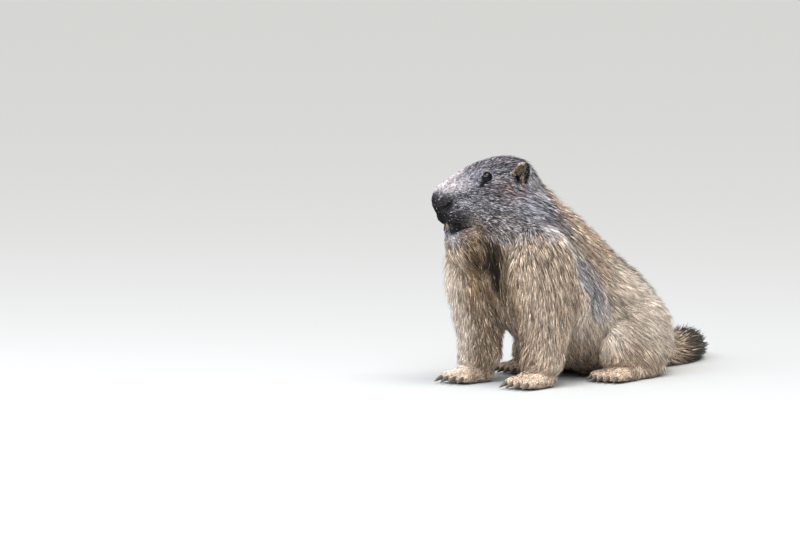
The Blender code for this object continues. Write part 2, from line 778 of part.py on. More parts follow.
def lock_form(name, root, surface, segments, size, draw):
    """A flat, tapered lock that follows the lie over the core, rises to the coat's height and bends a little.
    Its root is sunk in the core. There is none where the core turns too sharply for it."""
    length, width, rise, _ = size
    length *= draw.uniform(0.85, 1.15)
    width *= draw.uniform(0.88, 1.12)
    rise *= COAT_DEPTH * draw.uniform(0.8, 1.0)
    swerve = draw.uniform(-0.16, 0.16)
    step = length / (len(LOCK_RINGS) - 1)
    place, normal = root
    before = None
    rings = []
    for i, (height, broad, thick) in enumerate(LOCK_RINGS):
        ahead = lie(place, segments)
        ahead = (ahead - normal * ahead.dot(normal)).normalized()
        ahead = Matrix.Rotation(swerve * i, 3, normal) @ ahead
        if before and ahead.dot(before) < LOCK_LEAST_TURN_COSINE:
            return None
        before = ahead
        across = normal.cross(ahead)
        middle = place + normal * (height * rise if height > 0 else height * LOCK_SINK)
        half, deep = width * broad / 2, LOCK_THICK * thick / 2
        if broad:
            rings.append([middle + across * half, middle + normal * deep, middle - across * half,
                          middle - normal * deep])
        else:
            tip = middle
        wanted = place + ahead * step
        found = surface.find_nearest(wanted * MM)
        if wanted.y > TAIL_END_Y and (found[0] / MM - wanted).length > step / 3:
            place = wanted
        else:
            place, normal = found[0] / MM, found[1]
    points = [p for ring in rings for p in ring] + [tip]
    faces = [(3, 2, 1, 0)]
    for r in range(len(rings) - 1):
        for k in range(4):
            m = (k + 1) % 4
            faces.append((4 * r + k, 4 * r + m, 4 * r + 4 + m, 4 * r + 4 + k))
    last = 4 * (len(rings) - 1)
    faces += [(last + k, last + (k + 1) % 4, len(points) - 1) for k in range(4)]
    form = mesh_from(name, points, faces)
    face_out(form)
    return form


def lock_roots(core, draw):
    """Points spread over the core, no two nearer than the spacing that their region asks for."""
    core.data.calc_loop_triangles()
    triangles = core.data.loop_triangles
    areas = np.array([t.area for t in triangles])
    order = np.searchsorted(np.cumsum(areas) / areas.sum(), [draw.random() for _ in range(LOCK_TRIES)])
    kept = []
    for index in order:
        triangle = triangles[int(index)]
        a, b, c = (core.data.vertices[i].co / MM for i in triangle.vertices)
        u, v = draw.random(), draw.random()
        if u + v > 1:
            u, v = 1 - u, 1 - v
        p = a + (b - a) * u + (c - a) * v
        size = lock_size(p)
        if size is None:
            continue
        if all((p - q).length > 0.5 * (size[3] + other[3]) for q, _, other in kept):
            kept.append((p, triangle.normal.copy(), size))
    return kept


def add_locks(core):
    """Fuses the coat's locks to the core, and thins the slivers that the union leaves."""
    draw = random.Random(LOCK_SEED)
    surface = BVHTree.FromPolygons([v.co for v in core.data.vertices], [p.vertices for p in core.data.polygons])
    segments = flow_segments()
    forms = [lock_form("lock", root[:2], surface, segments, root[2], draw) for root in lock_roots(core, draw)]
    made = [form for form in forms if form]
    boolean(core, in_collection("locks", made), "UNION")
    return thinned(core, LOCKED_TRIANGLES)


def whole_animal():
    """The fused body with its lids, ears, mouth and nostrils, standing on flats at the floor."""
    skin = fused_skin()
    sunk_to_core(skin)
    whole = thinned(skin, SKIN_TRIANGLES)
    largest_body(whole)
    add_locks(whole)
    for side in (1, -1):
        boolean(whole, lid_ring("lids", side), "UNION")
        boolean(whole, ear_form("ear", side), "UNION")
        hole = ellipsoid("socket", eye_centre(side), (SOCKET_RADIUS,) * 3, None, 2)
        boolean(whole, hole, "DIFFERENCE")
        boolean(whole, nostril_cutter(side), "DIFFERENCE")
    boolean(whole, philtrum_cutter(), "DIFFERENCE")
    boolean(whole, mouth_cutter(), "DIFFERENCE")
    boolean(whole, incisor_form("tooth_socket", GAP), "DIFFERENCE")
    claws = [claw_form("claw_socket", root, tip, GAP, length) for _, root, tip, _, length in all_toes()]
    for claw in claws:
        boolean(whole, claw, "DIFFERENCE")
    boolean(whole, floor_cutter(), "DIFFERENCE")
    return largest_body(whole)


def slab_cell(name, centre, normal, size, grow):
    """A big box whose one face is the plane through centre: everything on the normal's side of it."""
    normal = Vector(normal).normalized()
    cell = box(name, (-size, -size, -grow), (size, size, size))
    turn = Vector((0, 0, 1)).rotation_difference(normal).to_matrix().to_4x4()
    cell.data.transform(Matrix.Translation(Vector(centre) * MM) @ turn)
    return cell


def disc_cell(name, centre, normal, radius, depth, grow):
    """A round plug on the normal's side of a plane."""
    normal = Vector(normal).normalized()
    rings = []
    across = normal.orthogonal().normalized()
    other = normal.cross(across)
    for height in (-grow, depth + grow):
        rings.append([
            Vector(centre) + normal * height
            + (across * math.cos(a) + other * math.sin(a)) * (radius + grow)
            for a in [2 * math.pi * k / 16 for k in range(16)]
        ])
    return bridged(name, rings)


# The room of one foreleg below the shoulder, for the left side: x, y, z, half width, half depth.
LEG_CELL_ROWS = (
    (48.0, -3.0, 121.0, 42.0, 47.0),
    (48.0, -3.0, 100.0, 42.0, 46.0),
    (48.0, -1.0, 70.0, 38.0, 42.0),
    (47.0, -2.0, 40.0, 34.0, 38.0),
    (46.0, -4.0, 10.0, 32.0, 36.0),
)

# The room of one hind foot, below the haunch.
FOOT_CELL_ROWS = (
    (59.0, 180.0, -4.0, 21.0, 22.0),
    (61.0, 150.0, -4.0, 23.0, 22.0),
    (66.0, 100.0, -4.0, 28.0, 22.0),
    (69.0, 50.0, -4.0, 32.0, 22.0),
)
EAR_CELL_ROOM = 1.8
WRIST = ((45, -7, 22), (0, -0.25, -1))
WRIST_CELL_SIZE = (42, 80)
HAUNCH_CELL = ((70, 138, 46), (45, 64, 54))
NOSE_CELL = ((-3, 0, 198.5), (17, 20, 11.5))
# Cuts by planes: a point of the plane and the way in which the part lies from it.
TAIL_TIP_CUT = ((-30, 326, 17), (-0.5, 0.86, 0))
TAIL_CUT = ((0, 236, 26), (0, 0.9, -0.35))
TAIL_CELL_SIZE = (48, 200)
HEAD_CUT = ((76, 0, 179), (-0.46, 0.10, 0.88))
NECK_CUT = ((-1, 22, 150), (-0.05, -0.42, 0.9))


def cells():
    """The parts in the order in which they leave the whole: (node name, function that makes its cell)."""
    parts = []
    for side, word in ((1, "left"), (-1, "right")):
        x, y, z = WRIST[0]
        wrist = (x * side, y, z)
        x, y, z = HAUNCH_CELL[0]
        haunch = (x * side, y, z)
        parts.append((f"ear_{word}", lambda g, side=side: ear_form("cell", side, EAR_CELL_ROOM + g, False, 2)))
        parts.append((f"forepaw_{word}", lambda g, wrist=wrist: disc_cell(
            "cell", wrist, WRIST[1], *WRIST_CELL_SIZE, g)))
        parts.append((f"foreleg_{word}", lambda g, side=side: loft(
            "cell", mirrored(LEG_CELL_ROWS, side), grow=g, sides=14, steps=1)))
        parts.append((f"hindfoot_{word}", lambda g, side=side: loft(
            "cell", mirrored(FOOT_CELL_ROWS, side), grow=g, sides=14, steps=1)))
        parts.append((f"haunch_{word}", lambda g, haunch=haunch: ellipsoid(
            "cell", haunch, HAUNCH_CELL[1], None, 2, g)))
    parts.append(("nose", lambda g: head_ellipsoid("cell", *NOSE_CELL, g, 2)))
    parts.append(("tail_tip", lambda g: slab_cell("cell", *TAIL_TIP_CUT, 150, g)))
    parts.append(("tail", lambda g: disc_cell("cell", *TAIL_CUT, *TAIL_CELL_SIZE, g)))
    parts.append(("head", lambda g: slab_cell(
        "cell", head_point(*HEAD_CUT[0]), head_direction(*HEAD_CUT[1]), 200, g)))
    parts.append(("neck", lambda g: slab_cell("cell", *NECK_CUT, 260, g)))
    return parts


def parted(whole):
    """Takes each part out of the whole with a gap round it. What is left is the torso."""
    nodes = {}
    for name, cell in cells():
        node = add_object(name, whole.data.copy())
        boolean(node, cell(0.0), "INTERSECT")
        boolean(whole, cell(GAP), "DIFFERENCE")
        nodes[name] = largest_body(node)
    whole.name = "torso"
    nodes["torso"] = largest_body(whole)
    return nodes


def material(name, colour, roughness):
    made = bpy.data.materials.new(name)
    made.use_nodes = True
    shader = made.node_tree.nodes["Principled BSDF"]
    shader.inputs["Base Color"].default_value = colour
    shader.inputs["Roughness"].default_value = roughness
    shader.inputs["Metallic"].default_value = 0.0
    return made


def finish_node(obj, made, angle=40):
    obj.data.materials.clear()
    obj.data.materials.append(made)
    obj.data.shade_smooth()
    obj.data.set_sharp_from_angle(angle=math.radians(angle))


def centre_on_floor(nodes):
    """Puts the origin under the middle of the whole animal, on the floor."""
    low, high = Vector((1e9,) * 3), Vector((-1e9,) * 3)
    for obj in nodes:
        for v in obj.data.vertices:
            low = Vector(map(min, low, v.co))
            high = Vector(map(max, high, v.co))
    shift = Vector((-(low.x + high.x) / 2, -(low.y + high.y) / 2, 0))
    for obj in nodes:
        obj.data.transform(Matrix.Translation(shift))


def main():
    clear_scene()
    nodes = parted(whole_animal())
    for side, word in ((1, "left"), (-1, "right")):
        nodes[f"eye_{word}"] = ellipsoid(f"eye_{word}", eye_centre(side), (EYE_RADIUS,) * 3)
    nodes["incisors"] = incisor_form("incisors")
    for name, root, tip, _, length in all_toes():
        nodes[name] = claw_form(name, root, tip, 0.0, length)
    finishes = {
        "eye": material("eye_gloss", EYE_DARK, 0.08),
        "claw": material("claw_horn", HORN, 0.45),
        "incisors": material("tooth_enamel", TOOTH, 0.3),
        "nose": material("nose_skin", NOSE_SKIN, 0.5),
        "head": material("fur_grey", FUR_GREY, 0.9),
        "ear": material("fur_ear", FUR_TAN, 0.9),
        "tail_tip": material("fur_dark", FUR_DARK, 0.9),
    }
    coat = material("fur_tan", FUR_CREAM, 0.9)
    for name, obj in nodes.items():
        finish_node(obj, finishes.get(name) or finishes.get(name.split("_")[0]) or coat)
    centre_on_floor(list(nodes.values()))


main()
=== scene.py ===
# %% [markdown]
# # Dressing an alpine marmot
# The solids of this animal are faceted and plain. Here they get a coat, eyes, claws and skin. Everything
# is placed in one shared frame: metres, +Z up, the floor at zero, and the animal faces -Y.

# %% Load the frame
import math

import bmesh
import bpy
import numpy as np
from mathutils import Matrix, Vector


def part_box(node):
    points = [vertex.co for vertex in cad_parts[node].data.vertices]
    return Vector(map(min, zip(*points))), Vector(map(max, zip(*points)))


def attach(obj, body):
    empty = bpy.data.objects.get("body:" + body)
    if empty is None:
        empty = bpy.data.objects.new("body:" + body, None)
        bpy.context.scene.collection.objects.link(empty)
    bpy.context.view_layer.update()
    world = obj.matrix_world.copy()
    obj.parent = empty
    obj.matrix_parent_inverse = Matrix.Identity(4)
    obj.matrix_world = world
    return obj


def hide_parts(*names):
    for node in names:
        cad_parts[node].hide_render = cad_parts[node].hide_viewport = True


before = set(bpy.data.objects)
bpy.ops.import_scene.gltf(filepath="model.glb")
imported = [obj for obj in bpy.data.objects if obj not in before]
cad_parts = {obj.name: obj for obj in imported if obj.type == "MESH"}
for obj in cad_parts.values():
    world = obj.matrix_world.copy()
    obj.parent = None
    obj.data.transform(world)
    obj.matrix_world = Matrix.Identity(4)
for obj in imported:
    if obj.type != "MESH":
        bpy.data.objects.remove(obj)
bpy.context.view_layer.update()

# %% [markdown]
# ## One pair of frames
# Shapes are easier to plan round the animal's own neck than round the middle of its box, so the sizes
# below are in millimetres in the animal's frame. The left eye's ball says how that frame lies in the
# shared one: its centre is known in both.

# %% The animal's frame and the head's frame
MM = 0.001
HEAD_TURN = math.radians(28)
NOSE_TIP = (-51.9, -70.0)
HEAD_BACK = Vector((math.sin(HEAD_TURN), math.cos(HEAD_TURN), 0))
HEAD_LEFT = Vector((math.cos(HEAD_TURN), -math.sin(HEAD_TURN), 0))
EYE_PLACE = (52.0, 21.6, 224.5)
EYE_RADIUS = 7.2


def head_point(s, w, z):
    """A point of the head's frame (s back from the nose, w to its left, z up) in the animal's frame."""
    return Vector((NOSE_TIP[0], NOSE_TIP[1], 0)) + HEAD_BACK * s + HEAD_LEFT * w + Vector((0, 0, z))


def head_direction(s, w, z):
    return (HEAD_BACK * s + HEAD_LEFT * w + Vector((0, 0, z))).normalized()


eye_low, eye_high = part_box("eye_left")
SHIFT = (eye_low + eye_high) / 2 / MM - head_point(*EYE_PLACE)
print("shift of the animal's frame, mm", [round(c, 2) for c in SHIFT])

# %% [markdown]
# ## Camera
# The photo is taken from a little above the animal's own height, from its front left, with a long lens.
# One pixel is 1.08 mm at the animal, so the distance and the focal length give the framing with no lens
# shift.

# %% Make the camera
PHOTO_SIZE = (800, 533)
PIXEL_MM = 1.08
AZIMUTH = math.radians(42)
ELEVATION = math.radians(5)
DISTANCE = 7.2
SENSOR = 36.0
CAMERA_REACH = 100.0
ORIGIN_PIXEL = (513.0, 384.0)

right = Vector((math.cos(AZIMUTH), math.sin(AZIMUTH), 0))
back = Vector((math.sin(AZIMUTH) * math.cos(ELEVATION), -math.cos(AZIMUTH) * math.cos(ELEVATION),
               math.sin(ELEVATION)))
up = back.cross(right)
across = (PHOTO_SIZE[0] / 2 - ORIGIN_PIXEL[0]) * PIXEL_MM
above = (ORIGIN_PIXEL[1] - PHOTO_SIZE[1] / 2) * PIXEL_MM
target = (right * across + up * above + SHIFT) * MM

camera_data = bpy.data.cameras.new("camera")
camera_data.sensor_width = SENSOR
camera_data.lens = DISTANCE * SENSOR / (PHOTO_SIZE[0] * PIXEL_MM * MM)
camera_data.clip_end = CAMERA_REACH
camera = bpy.data.objects.new("camera", camera_data)
camera_turn = Matrix((right, up, back)).transposed().to_4x4()
camera.matrix_world = Matrix.Translation(target + back * DISTANCE) @ camera_turn
bpy.context.scene.collection.objects.link(camera)
bpy.context.scene.camera = camera
print("lens, mm", round(camera_data.lens, 1), "camera height, m", round(camera.location.z, 3))

# %% [markdown]
# ## Light and floor
# Thin cloud lights the animal in the photo: soft light from everywhere, strongest from overhead. A pale
# world gives the first, a wide sun the second, and one wide soft box makes the bluish glint in the eye.

# %% Light the stage
WORLD_COLOUR = (0.93, 0.96, 1.0, 1)
WORLD_STRENGTH = 0.6
SUN_COLOUR = (1.0, 0.965, 0.91)
SUN_STRENGTH = 2.55
SUN_WIDTH = math.radians(35)
SUN_AT = (0.8, 3.6, 1.4)
SOFTBOX_COLOUR = (0.84, 0.9, 1.0)
SOFTBOX_POWER = 100.0
SOFTBOX_SIZE = (3.0, 1.5)
SOFTBOX_AT = (-0.7, 1.5, 1.9)
FLOOR_SIZE = 80.0
FLOOR_COLOUR = (0.50, 0.50, 0.49, 1)
FLOOR_ROUGHNESS = 0.9

world = bpy.data.worlds.new("studio")
world.use_nodes = True
sky = world.node_tree.nodes["Background"]
sky.inputs["Color"].default_value = WORLD_COLOUR
sky.inputs["Strength"].default_value = WORLD_STRENGTH
bpy.context.scene.world = world


def add_light(name, kind, power, tint, at):
    """A light turned to the animal. Its place is given in metres along the camera's right, up and back."""
    data = bpy.data.lights.new(name, kind)
    data.energy = power
    data.color = tint
    light = bpy.data.objects.new(name, data)
    place = target + right * at[0] + up * at[1] + back * at[2]
    light.location = place
    light.rotation_euler = (target - place).to_track_quat("-Z", "Y").to_euler()
    bpy.context.scene.collection.objects.link(light)
    return data


add_light("sun", "SUN", SUN_STRENGTH, SUN_COLOUR, SUN_AT).angle = SUN_WIDTH
softbox = add_light("softbox", "AREA", SOFTBOX_POWER, SOFTBOX_COLOUR, SOFTBOX_AT)
softbox.shape = "RECTANGLE"
softbox.size, softbox.size_y = SOFTBOX_SIZE

floor_mesh = bpy.data.meshes.new("floor")
half = FLOOR_SIZE / 2
corners = [(-half, -half, 0), (half, -half, 0), (half, half, 0), (-half, half, 0)]
floor_mesh.from_pydata(corners, [], [(0, 1, 2, 3)])
floor = bpy.data.objects.new("floor", floor_mesh)
floor_finish = bpy.data.materials.new("floor")
floor_finish.use_nodes = True
floor_shader = floor_finish.node_tree.nodes["Principled BSDF"]
floor_shader.inputs["Base Color"].default_value = FLOOR_COLOUR
floor_shader.inputs["Roughness"].default_value = FLOOR_ROUGHNESS
floor_mesh.materials.append(floor_finish)
bpy.context.scene.collection.objects.link(floor)
bpy.context.scene.view_settings.view_transform = "Standard"

# %% [markdown]
# ## Helpers for forms
# The body is soft and round. It could be sculpted, but then its sizes could not be read or changed. So its
# forms are lofts: rings along a bent line, each ring an oval. A few rows of sizes drive each one, and a
# smooth curve through the rows gives the rings between them.

# %% Mesh helpers


def add_object(name, mesh):
    obj = bpy.data.objects.new(name, mesh)
    bpy.context.scene.collection.objects.link(obj)
    return obj


def turn_out(shape):
    """Turns the faces of a mesh in work outwards."""
    bmesh.ops.recalc_face_normals(shape, faces=shape.faces)
    if shape.calc_volume(signed=True) < 0:
        bmesh.ops.reverse_faces(shape, faces=shape.faces)


def face_out(obj):
    """Splits the faces into triangles and turns them outwards."""
    shape = bmesh.new()
    shape.from_mesh(obj.data)
    bmesh.ops.triangulate(shape, faces=shape.faces)
    turn_out(shape)
    shape.to_mesh(obj.data)
    shape.free()
    return obj


def triangles_in(obj):
    return sum(len(p.vertices) - 2 for p in obj.data.polygons)


def mesh_from(name, points, faces):
    """An object from points in millimetres."""
    mesh = bpy.data.meshes.new(name)
    mesh.from_pydata([tuple(c * MM for c in p) for p in points], [], faces)
    return face_out(add_object(name, mesh))


def smooth_rows(rows, steps):
    """Rows of numbers, with Catmull-Rom points added between each pair."""
    rows = np.array(rows, float)
    ends = np.vstack([2 * rows[0] - rows[1], rows, 2 * rows[-1] - rows[-2]])
    made = []
    for i in range(1, len(ends) - 2):
        a, b, c, d = ends[i - 1], ends[i], ends[i + 1], ends[i + 2]
        for k in range(steps):
            t = k / steps
            made.append(0.5 * (2 * b + (c - a) * t + (2 * a - 5 * b + 4 * c - d) * t * t
                               + (3 * b - a - 3 * c + d) * t ** 3))
    made.append(rows[-1])
    return np.array(made)


def bridged(name, rings):
    """A closed object through rings of points, with a point at the middle of each end."""
    count = len(rings[0])
    points = [p for ring in rings for p in ring]
    faces = []
    for r in range(len(rings) - 1):
        for i in range(count):
            j = (i + 1) % count
            faces.append((r * count + i, r * count + j, (r + 1) * count + j, (r + 1) * count + i))
    for r in (0, len(rings) - 1):
        points.append(sum((Vector(p) for p in rings[r]), Vector()) / count)
        for i in range(count):
            faces.append((r * count + i, r * count + (i + 1) % count, len(points) - 1))
    return mesh_from(name, points, faces)


def loft(name, rows, sides=40, steps=6):
    """A closed limb through rows of (x, y, z, half width, half depth)."""
    rows = smooth_rows(rows, steps)
    middles = [Vector(r[:3]) for r in rows]
    angles = [2 * math.pi * k / sides for k in range(sides)]
    rings = []
    for i, row in enumerate(rows):
        along = (middles[min(i + 1, len(rows) - 1)] - middles[max(i - 1, 0)]).normalized()
        across = Vector((1, 0, 0))
        across = (across - along * across.dot(along)).normalized()
        deep = along.cross(across)
        rings.append([middles[i] + across * math.cos(a) * row[3] + deep * math.sin(a) * row[4]
                      for a in angles])
    return bridged(name, rings)


def ellipsoid(name, centre, radii, turn=None, detail=4):
    shape = bmesh.new()
    bmesh.ops.create_icosphere(shape, subdivisions=detail, radius=1.0)
    scale = Matrix.Diagonal((*[r * MM for r in radii], 1))
    matrix = Matrix.Translation(Vector(centre) * MM) @ (turn or Matrix.Identity(4)) @ scale
    bmesh.ops.transform(shape, matrix=matrix, verts=shape.verts)
    mesh = bpy.data.meshes.new(name)
    shape.to_mesh(mesh)
    shape.free()
    return add_object(name, mesh)


HEAD_AXES = Matrix((HEAD_LEFT, HEAD_BACK, Vector((0, 0, 1)))).transposed().to_4x4()


def head_ellipsoid(name, place, radii):
    """An ellipsoid set in the head's frame, its radii along s, w and z."""
    return ellipsoid(name, head_point(*place), (radii[1], radii[0], radii[2]), HEAD_AXES)


def joined(name, objects):
    """One object with all the meshes, which stay as they lie."""
    shape = bmesh.new()
    for obj in objects:
        shape.from_mesh(obj.data)
        bpy.data.objects.remove(obj)
    mesh = bpy.data.meshes.new(name)
    shape.to_mesh(mesh)
    shape.free()
    return add_object(name, mesh)


def bake(obj):
    """Applies the object's modifiers."""
    graph = bpy.context.evaluated_depsgraph_get()
    graph.update()
    mesh = bpy.data.meshes.new_from_object(obj.evaluated_get(graph))
    obj.modifiers.clear()
    obj.data = mesh
    return obj


def boolean(obj, others, operation):
    """Joins the others to the object or cuts them from it, and removes them."""
    group = bpy.data.collections.new("cutters")
    bpy.context.scene.collection.children.link(group)
    for other in others:
        bpy.context.scene.collection.objects.unlink(other)
        group.objects.link(other)
    cut = obj.modifiers.new("cut", "BOOLEAN")
    cut.operation = operation
    cut.solver = "MANIFOLD"
    cut.operand_type = "COLLECTION"
    cut.collection = group
    bake(obj)
    for other in others:
        bpy.data.objects.remove(other)
    bpy.data.collections.remove(group)
    return obj


def remeshed(obj, voxel):
    remesh = obj.modifiers.new("fuse", "REMESH")
    remesh.mode = "VOXEL"
    remesh.voxel_size = voxel * MM
    return bake(obj)


# %% [markdown]
# ## The forms of the body
# The head gets its own frame, because it is turned to the animal's right. Its rows say how far back a
# ring lies, its top, widest height and bottom, its half width and how square it is. The trunk, tail and
# legs are lofts.

# %% Head rows
SKULL_ROWS = (
    (0.0, 206.0, 200.0, 193.0, 8.5, 2.2),
    (4.0, 212.5, 199.0, 187.0, 13.0, 2.3),
    (10.0, 218.5, 197.0, 179.5, 17.0, 2.4),
    (18.0, 224.0, 195.0, 173.0, 20.5, 2.5),
    (28.0, 229.5, 194.0, 169.0, 24.0, 2.5),
    (40.0, 235.5, 194.0, 163.0, 28.0, 2.4),
    (52.0, 240.5, 196.0, 158.0, 33.0, 2.3),
    (66.0, 243.5, 197.0, 153.0, 38.0, 2.2),
    (80.0, 245.0, 196.0, 150.0, 41.0, 2.2),
    (94.0, 243.0, 194.0, 148.0, 41.0, 2.1),
    (106.0, 237.0, 192.0, 150.0, 38.0, 2.0),
    (116.0, 227.0, 190.0, 156.0, 32.0, 2.0),
)
JAW_ROWS = (
    (15.0, 171.0, 168.0, 164.5, 6.0, 2.0),
    (19.0, 173.5, 168.0, 162.0, 10.5, 2.1),
    (28.0, 176.0, 168.0, 159.0, 15.0, 2.2),
    (40.0, 178.0, 168.0, 155.0, 19.0, 2.2),
    (54.0, 180.0, 168.0, 150.0, 25.0, 2.2),
    (70.0, 182.0, 168.0, 146.0, 30.0, 2.2),
)


def superellipse(angle, power):
    c, s = math.cos(angle), math.sin(angle)
    return math.copysign(abs(c) ** (2 / power), c), math.copysign(abs(s) ** (2 / power), s)


def head_loft(name, rows, sides=48, steps=6):
    rings = []
    for s, top, middle, bottom, width, power in smooth_rows(rows, steps):
        ring = []
        for k in range(sides):
            c, n = superellipse(2 * math.pi * k / sides, power)
            half_height = top - middle if n > 0 else middle - bottom
            ring.append(head_point(s, c * width, middle + n * half_height))
        rings.append(ring)
    return bridged(name, rings)


print("rings given for the skull", len(SKULL_ROWS), "and for the jaw", len(JAW_ROWS))

# %% Body rows, each one x, y, z, half width and half depth
TRUNK_ROWS = (
    (-8.0, -2.0, 206.0, 38.0, 42.0),
    (-6.0, 6.0, 186.0, 48.0, 51.0),
    (-4.0, 14.0, 165.0, 56.0, 60.0),
    (-1.0, 29.0, 141.0, 64.0, 67.0),
    (0.0, 51.0, 116.0, 69.0, 72.0),
    (0.0, 83.0, 93.0, 71.0, 71.0),
    (0.0, 116.0, 75.0, 72.0, 67.0),
    (0.0, 150.0, 60.0, 71.0, 61.0),
    (0.0, 181.0, 46.0, 64.0, 51.0),
    (0.0, 205.0, 36.0, 52.0, 40.0),
    (0.0, 225.0, 31.0, 36.0, 27.0),
    (0.0, 238.0, 28.0, 16.0, 14.0),
)
TAIL_ROWS = (
    (0.0, 222.0, 34.0, 26.0, 24.0),
    (-2.0, 246.0, 25.0, 20.0, 19.0),
    (-6.0, 270.0, 17.5, 18.0, 18.0),
    (-16.0, 300.0, 16.0, 20.0, 18.0),
    (-32.0, 330.0, 15.0, 20.0, 17.0),
    (-50.0, 356.0, 13.0, 16.0, 14.0),
    (-62.0, 374.0, 11.0, 9.0, 9.0),
    (-68.0, 383.0, 10.0, 3.0, 3.0),
)
FORELEG_ROWS = (
    (36.0, 9.0, 165.0, 22.0, 26.0),
    (41.5, 1.0, 151.0, 31.0, 36.0),
    (45.0, -3.0, 132.0, 36.0, 40.0),
    (47.0, -3.0, 105.0, 34.0, 39.0),
    (47.0, -1.0, 80.0, 30.5, 34.0),
    (46.0, -2.0, 55.0, 27.0, 29.0),
    (45.0, -4.0, 34.0, 24.0, 24.5),
    (45.0, -7.0, 18.0, 19.0, 18.5),
    (45.0, -9.0, 6.0, 16.0, 16.0),
)
FOREPAW_ROWS = (
    (45.0, 6.0, 10.0, 14.0, 10.0),
    (45.0, -8.0, 10.0, 17.0, 11.0),
    (46.0, -22.0, 9.0, 18.5, 10.0),
    (46.5, -32.0, 7.5, 17.0, 8.0),
    (47.0, -37.0, 6.5, 12.0, 5.0),
)
HINDFOOT_ROWS = (
    (60.0, 160.0, 9.0, 9.0, 8.0),
    (61.0, 148.0, 10.0, 12.0, 11.0),
    (63.0, 124.0, 10.0, 14.0, 11.0),
    (66.0, 102.0, 9.0, 17.0, 10.0),
    (67.0, 88.0, 8.0, 18.0, 8.5),
    (67.5, 82.0, 7.0, 14.0, 6.0),
)


def mirrored(rows, side):
    return [(r[0] * side, *r[1:]) for r in rows]


# %% Toes and claws, four on each forepaw and five on each hind foot
FEET = {
    "fore": {"start": (46.5, -29.0, 7.5), "toes": 4, "spread": 8.8, "reach": 21.0, "radius": 5.0,
             "claw": 16.0},
    "hind": {"start": (67.0, 90.0, 7.0), "toes": 5, "spread": 7.8, "reach": 22.0, "radius": 4.7,
             "claw": 13.6},
}
TOE_FAN = 1.3
TOE_DROP = 1.3
TOE_SHORTENING = 0.05
TOE_ARCH = 1.2
TOE_SHARES = ((-0.35, 0.8), (0.0, 1.0), (0.35, 1.0), (0.65, 0.98), (0.86, 0.82), (1.0, 0.45))
CLAW_RADIUS = 2.5
CLAW_ROOT = 6.0


def all_toes():
    """(node name of the claw, toe root, toe tip, toe radius, claw length) of every toe."""
    toes = []
    for side, word in ((1, "left"), (-1, "right")):
        for foot, plan in FEET.items():
            x, y, z = plan["start"]
            for i in range(plan["toes"]):
                away = i - (plan["toes"] - 1) / 2
                root = Vector((side * x + away * plan["spread"], y, z))
                reach = plan["reach"] * (1.0 - TOE_SHORTENING * away * away)
                tip = root + Vector((away * TOE_FAN, -reach, -TOE_DROP))
                toes.append((f"claw_{foot}_{word}_{i + 1}", root, tip, plan["radius"], plan["claw"]))
    return toes


print("toes", len(all_toes()))


def toe_form(root, tip, radius):
    rows = []
    for share, size in TOE_SHARES:
        place = root.lerp(tip, share)
        arch = TOE_ARCH * math.sin(math.pi * max(share, 0))
        rows.append((place.x, place.y, place.z + arch, radius * size, radius * size))
    return loft("toe", rows, sides=20, steps=3)


# %% All forms of the body
RUFF_PLACE = (-26.0, -23.0, 152.0)
RUFF_RADII = (41.0, 42.0, 30.0)
WHISKER_PAD = (19.5, 10.5, 184.0)
WHISKER_PAD_RADII = (12.0, 10.5, 11.5)
# Rounded forms, by their place on the left side and their radii: on the head in its own frame, then on
# the body.
HEAD_ROUNDS = (
    ((66, 25, 182), (34, 17.5, 28)),
    (WHISKER_PAD, WHISKER_PAD_RADII),
    ((52, 19.5, 229.5), (10, 6, 4)),
    ((22, 8, 168.5), (9, 6.5, 4.2)),
)
BODY_ROUNDS = (
    ((52, 30, 96), (24, 32, 34)),
    ((54, 142, 47), (27, 56, 45)),
    ((63, 104, 38), (19, 24, 30)),
    ((59, 158, 18), (14, 18, 18)),
)


def body_forms():
    """Every lofted or rounded form of the body, overlapping its neighbours."""
    made = [head_loft("skull", SKULL_ROWS), head_loft("jaw", JAW_ROWS), loft("trunk", TRUNK_ROWS),
            loft("tail", TAIL_ROWS), ellipsoid("ruff", RUFF_PLACE, RUFF_RADII)]
    for side in (1, -1):
        made += [head_ellipsoid("round", (s, w * side, z), radii) for (s, w, z), radii in HEAD_ROUNDS]
        made += [loft("limb", mirrored(rows, side)) for rows in (FORELEG_ROWS, FOREPAW_ROWS, HINDFOOT_ROWS)]
        made += [ellipsoid("round", (x * side, y, z), radii) for (x, y, z), radii in BODY_ROUNDS]
    made += [toe_form(root, tip, radius) for _, root, tip, radius, _ in all_toes()]
    return made


# %% [markdown]
# ## The skin
# A real skin is one sheet with no seam, so all the forms are fused: a voxel remesh melts them together
# and a smoothing pass rounds the creases where they meet. The muzzle and the feet are smoothed less. Then
# the skin is sunk under the coat by the depth of the hair, which is longest on the body and almost
# nothing on the face.

# %% Where a point lies on the animal


def ramp(value, start, end):
    """0 at start, 1 at end, and straight between them."""
    return np.clip((value - start) / (end - start), 0.0, 1.0)


def points_of(obj):
    """The object's points in millimetres."""
    flat = np.empty(len(obj.data.vertices) * 3)
    obj.data.vertices.foreach_get("co", flat)
    return flat.reshape(-1, 3) / MM


def set_points(obj, points):
    obj.data.vertices.foreach_set("co", (points * MM).ravel())
    obj.data.update()


def normals_of(obj):
    flat = np.empty(len(obj.data.vertices) * 3)
    obj.data.vertex_normals.foreach_get("vector", flat)
    return flat.reshape(-1, 3)


def head_frame(p):
    """(s, w, z) of points in the head's frame."""
    flat = p - np.array([NOSE_TIP[0], NOSE_TIP[1], 0.0])
    return flat @ np.array(HEAD_BACK), flat @ np.array(HEAD_LEFT), p[:, 2]


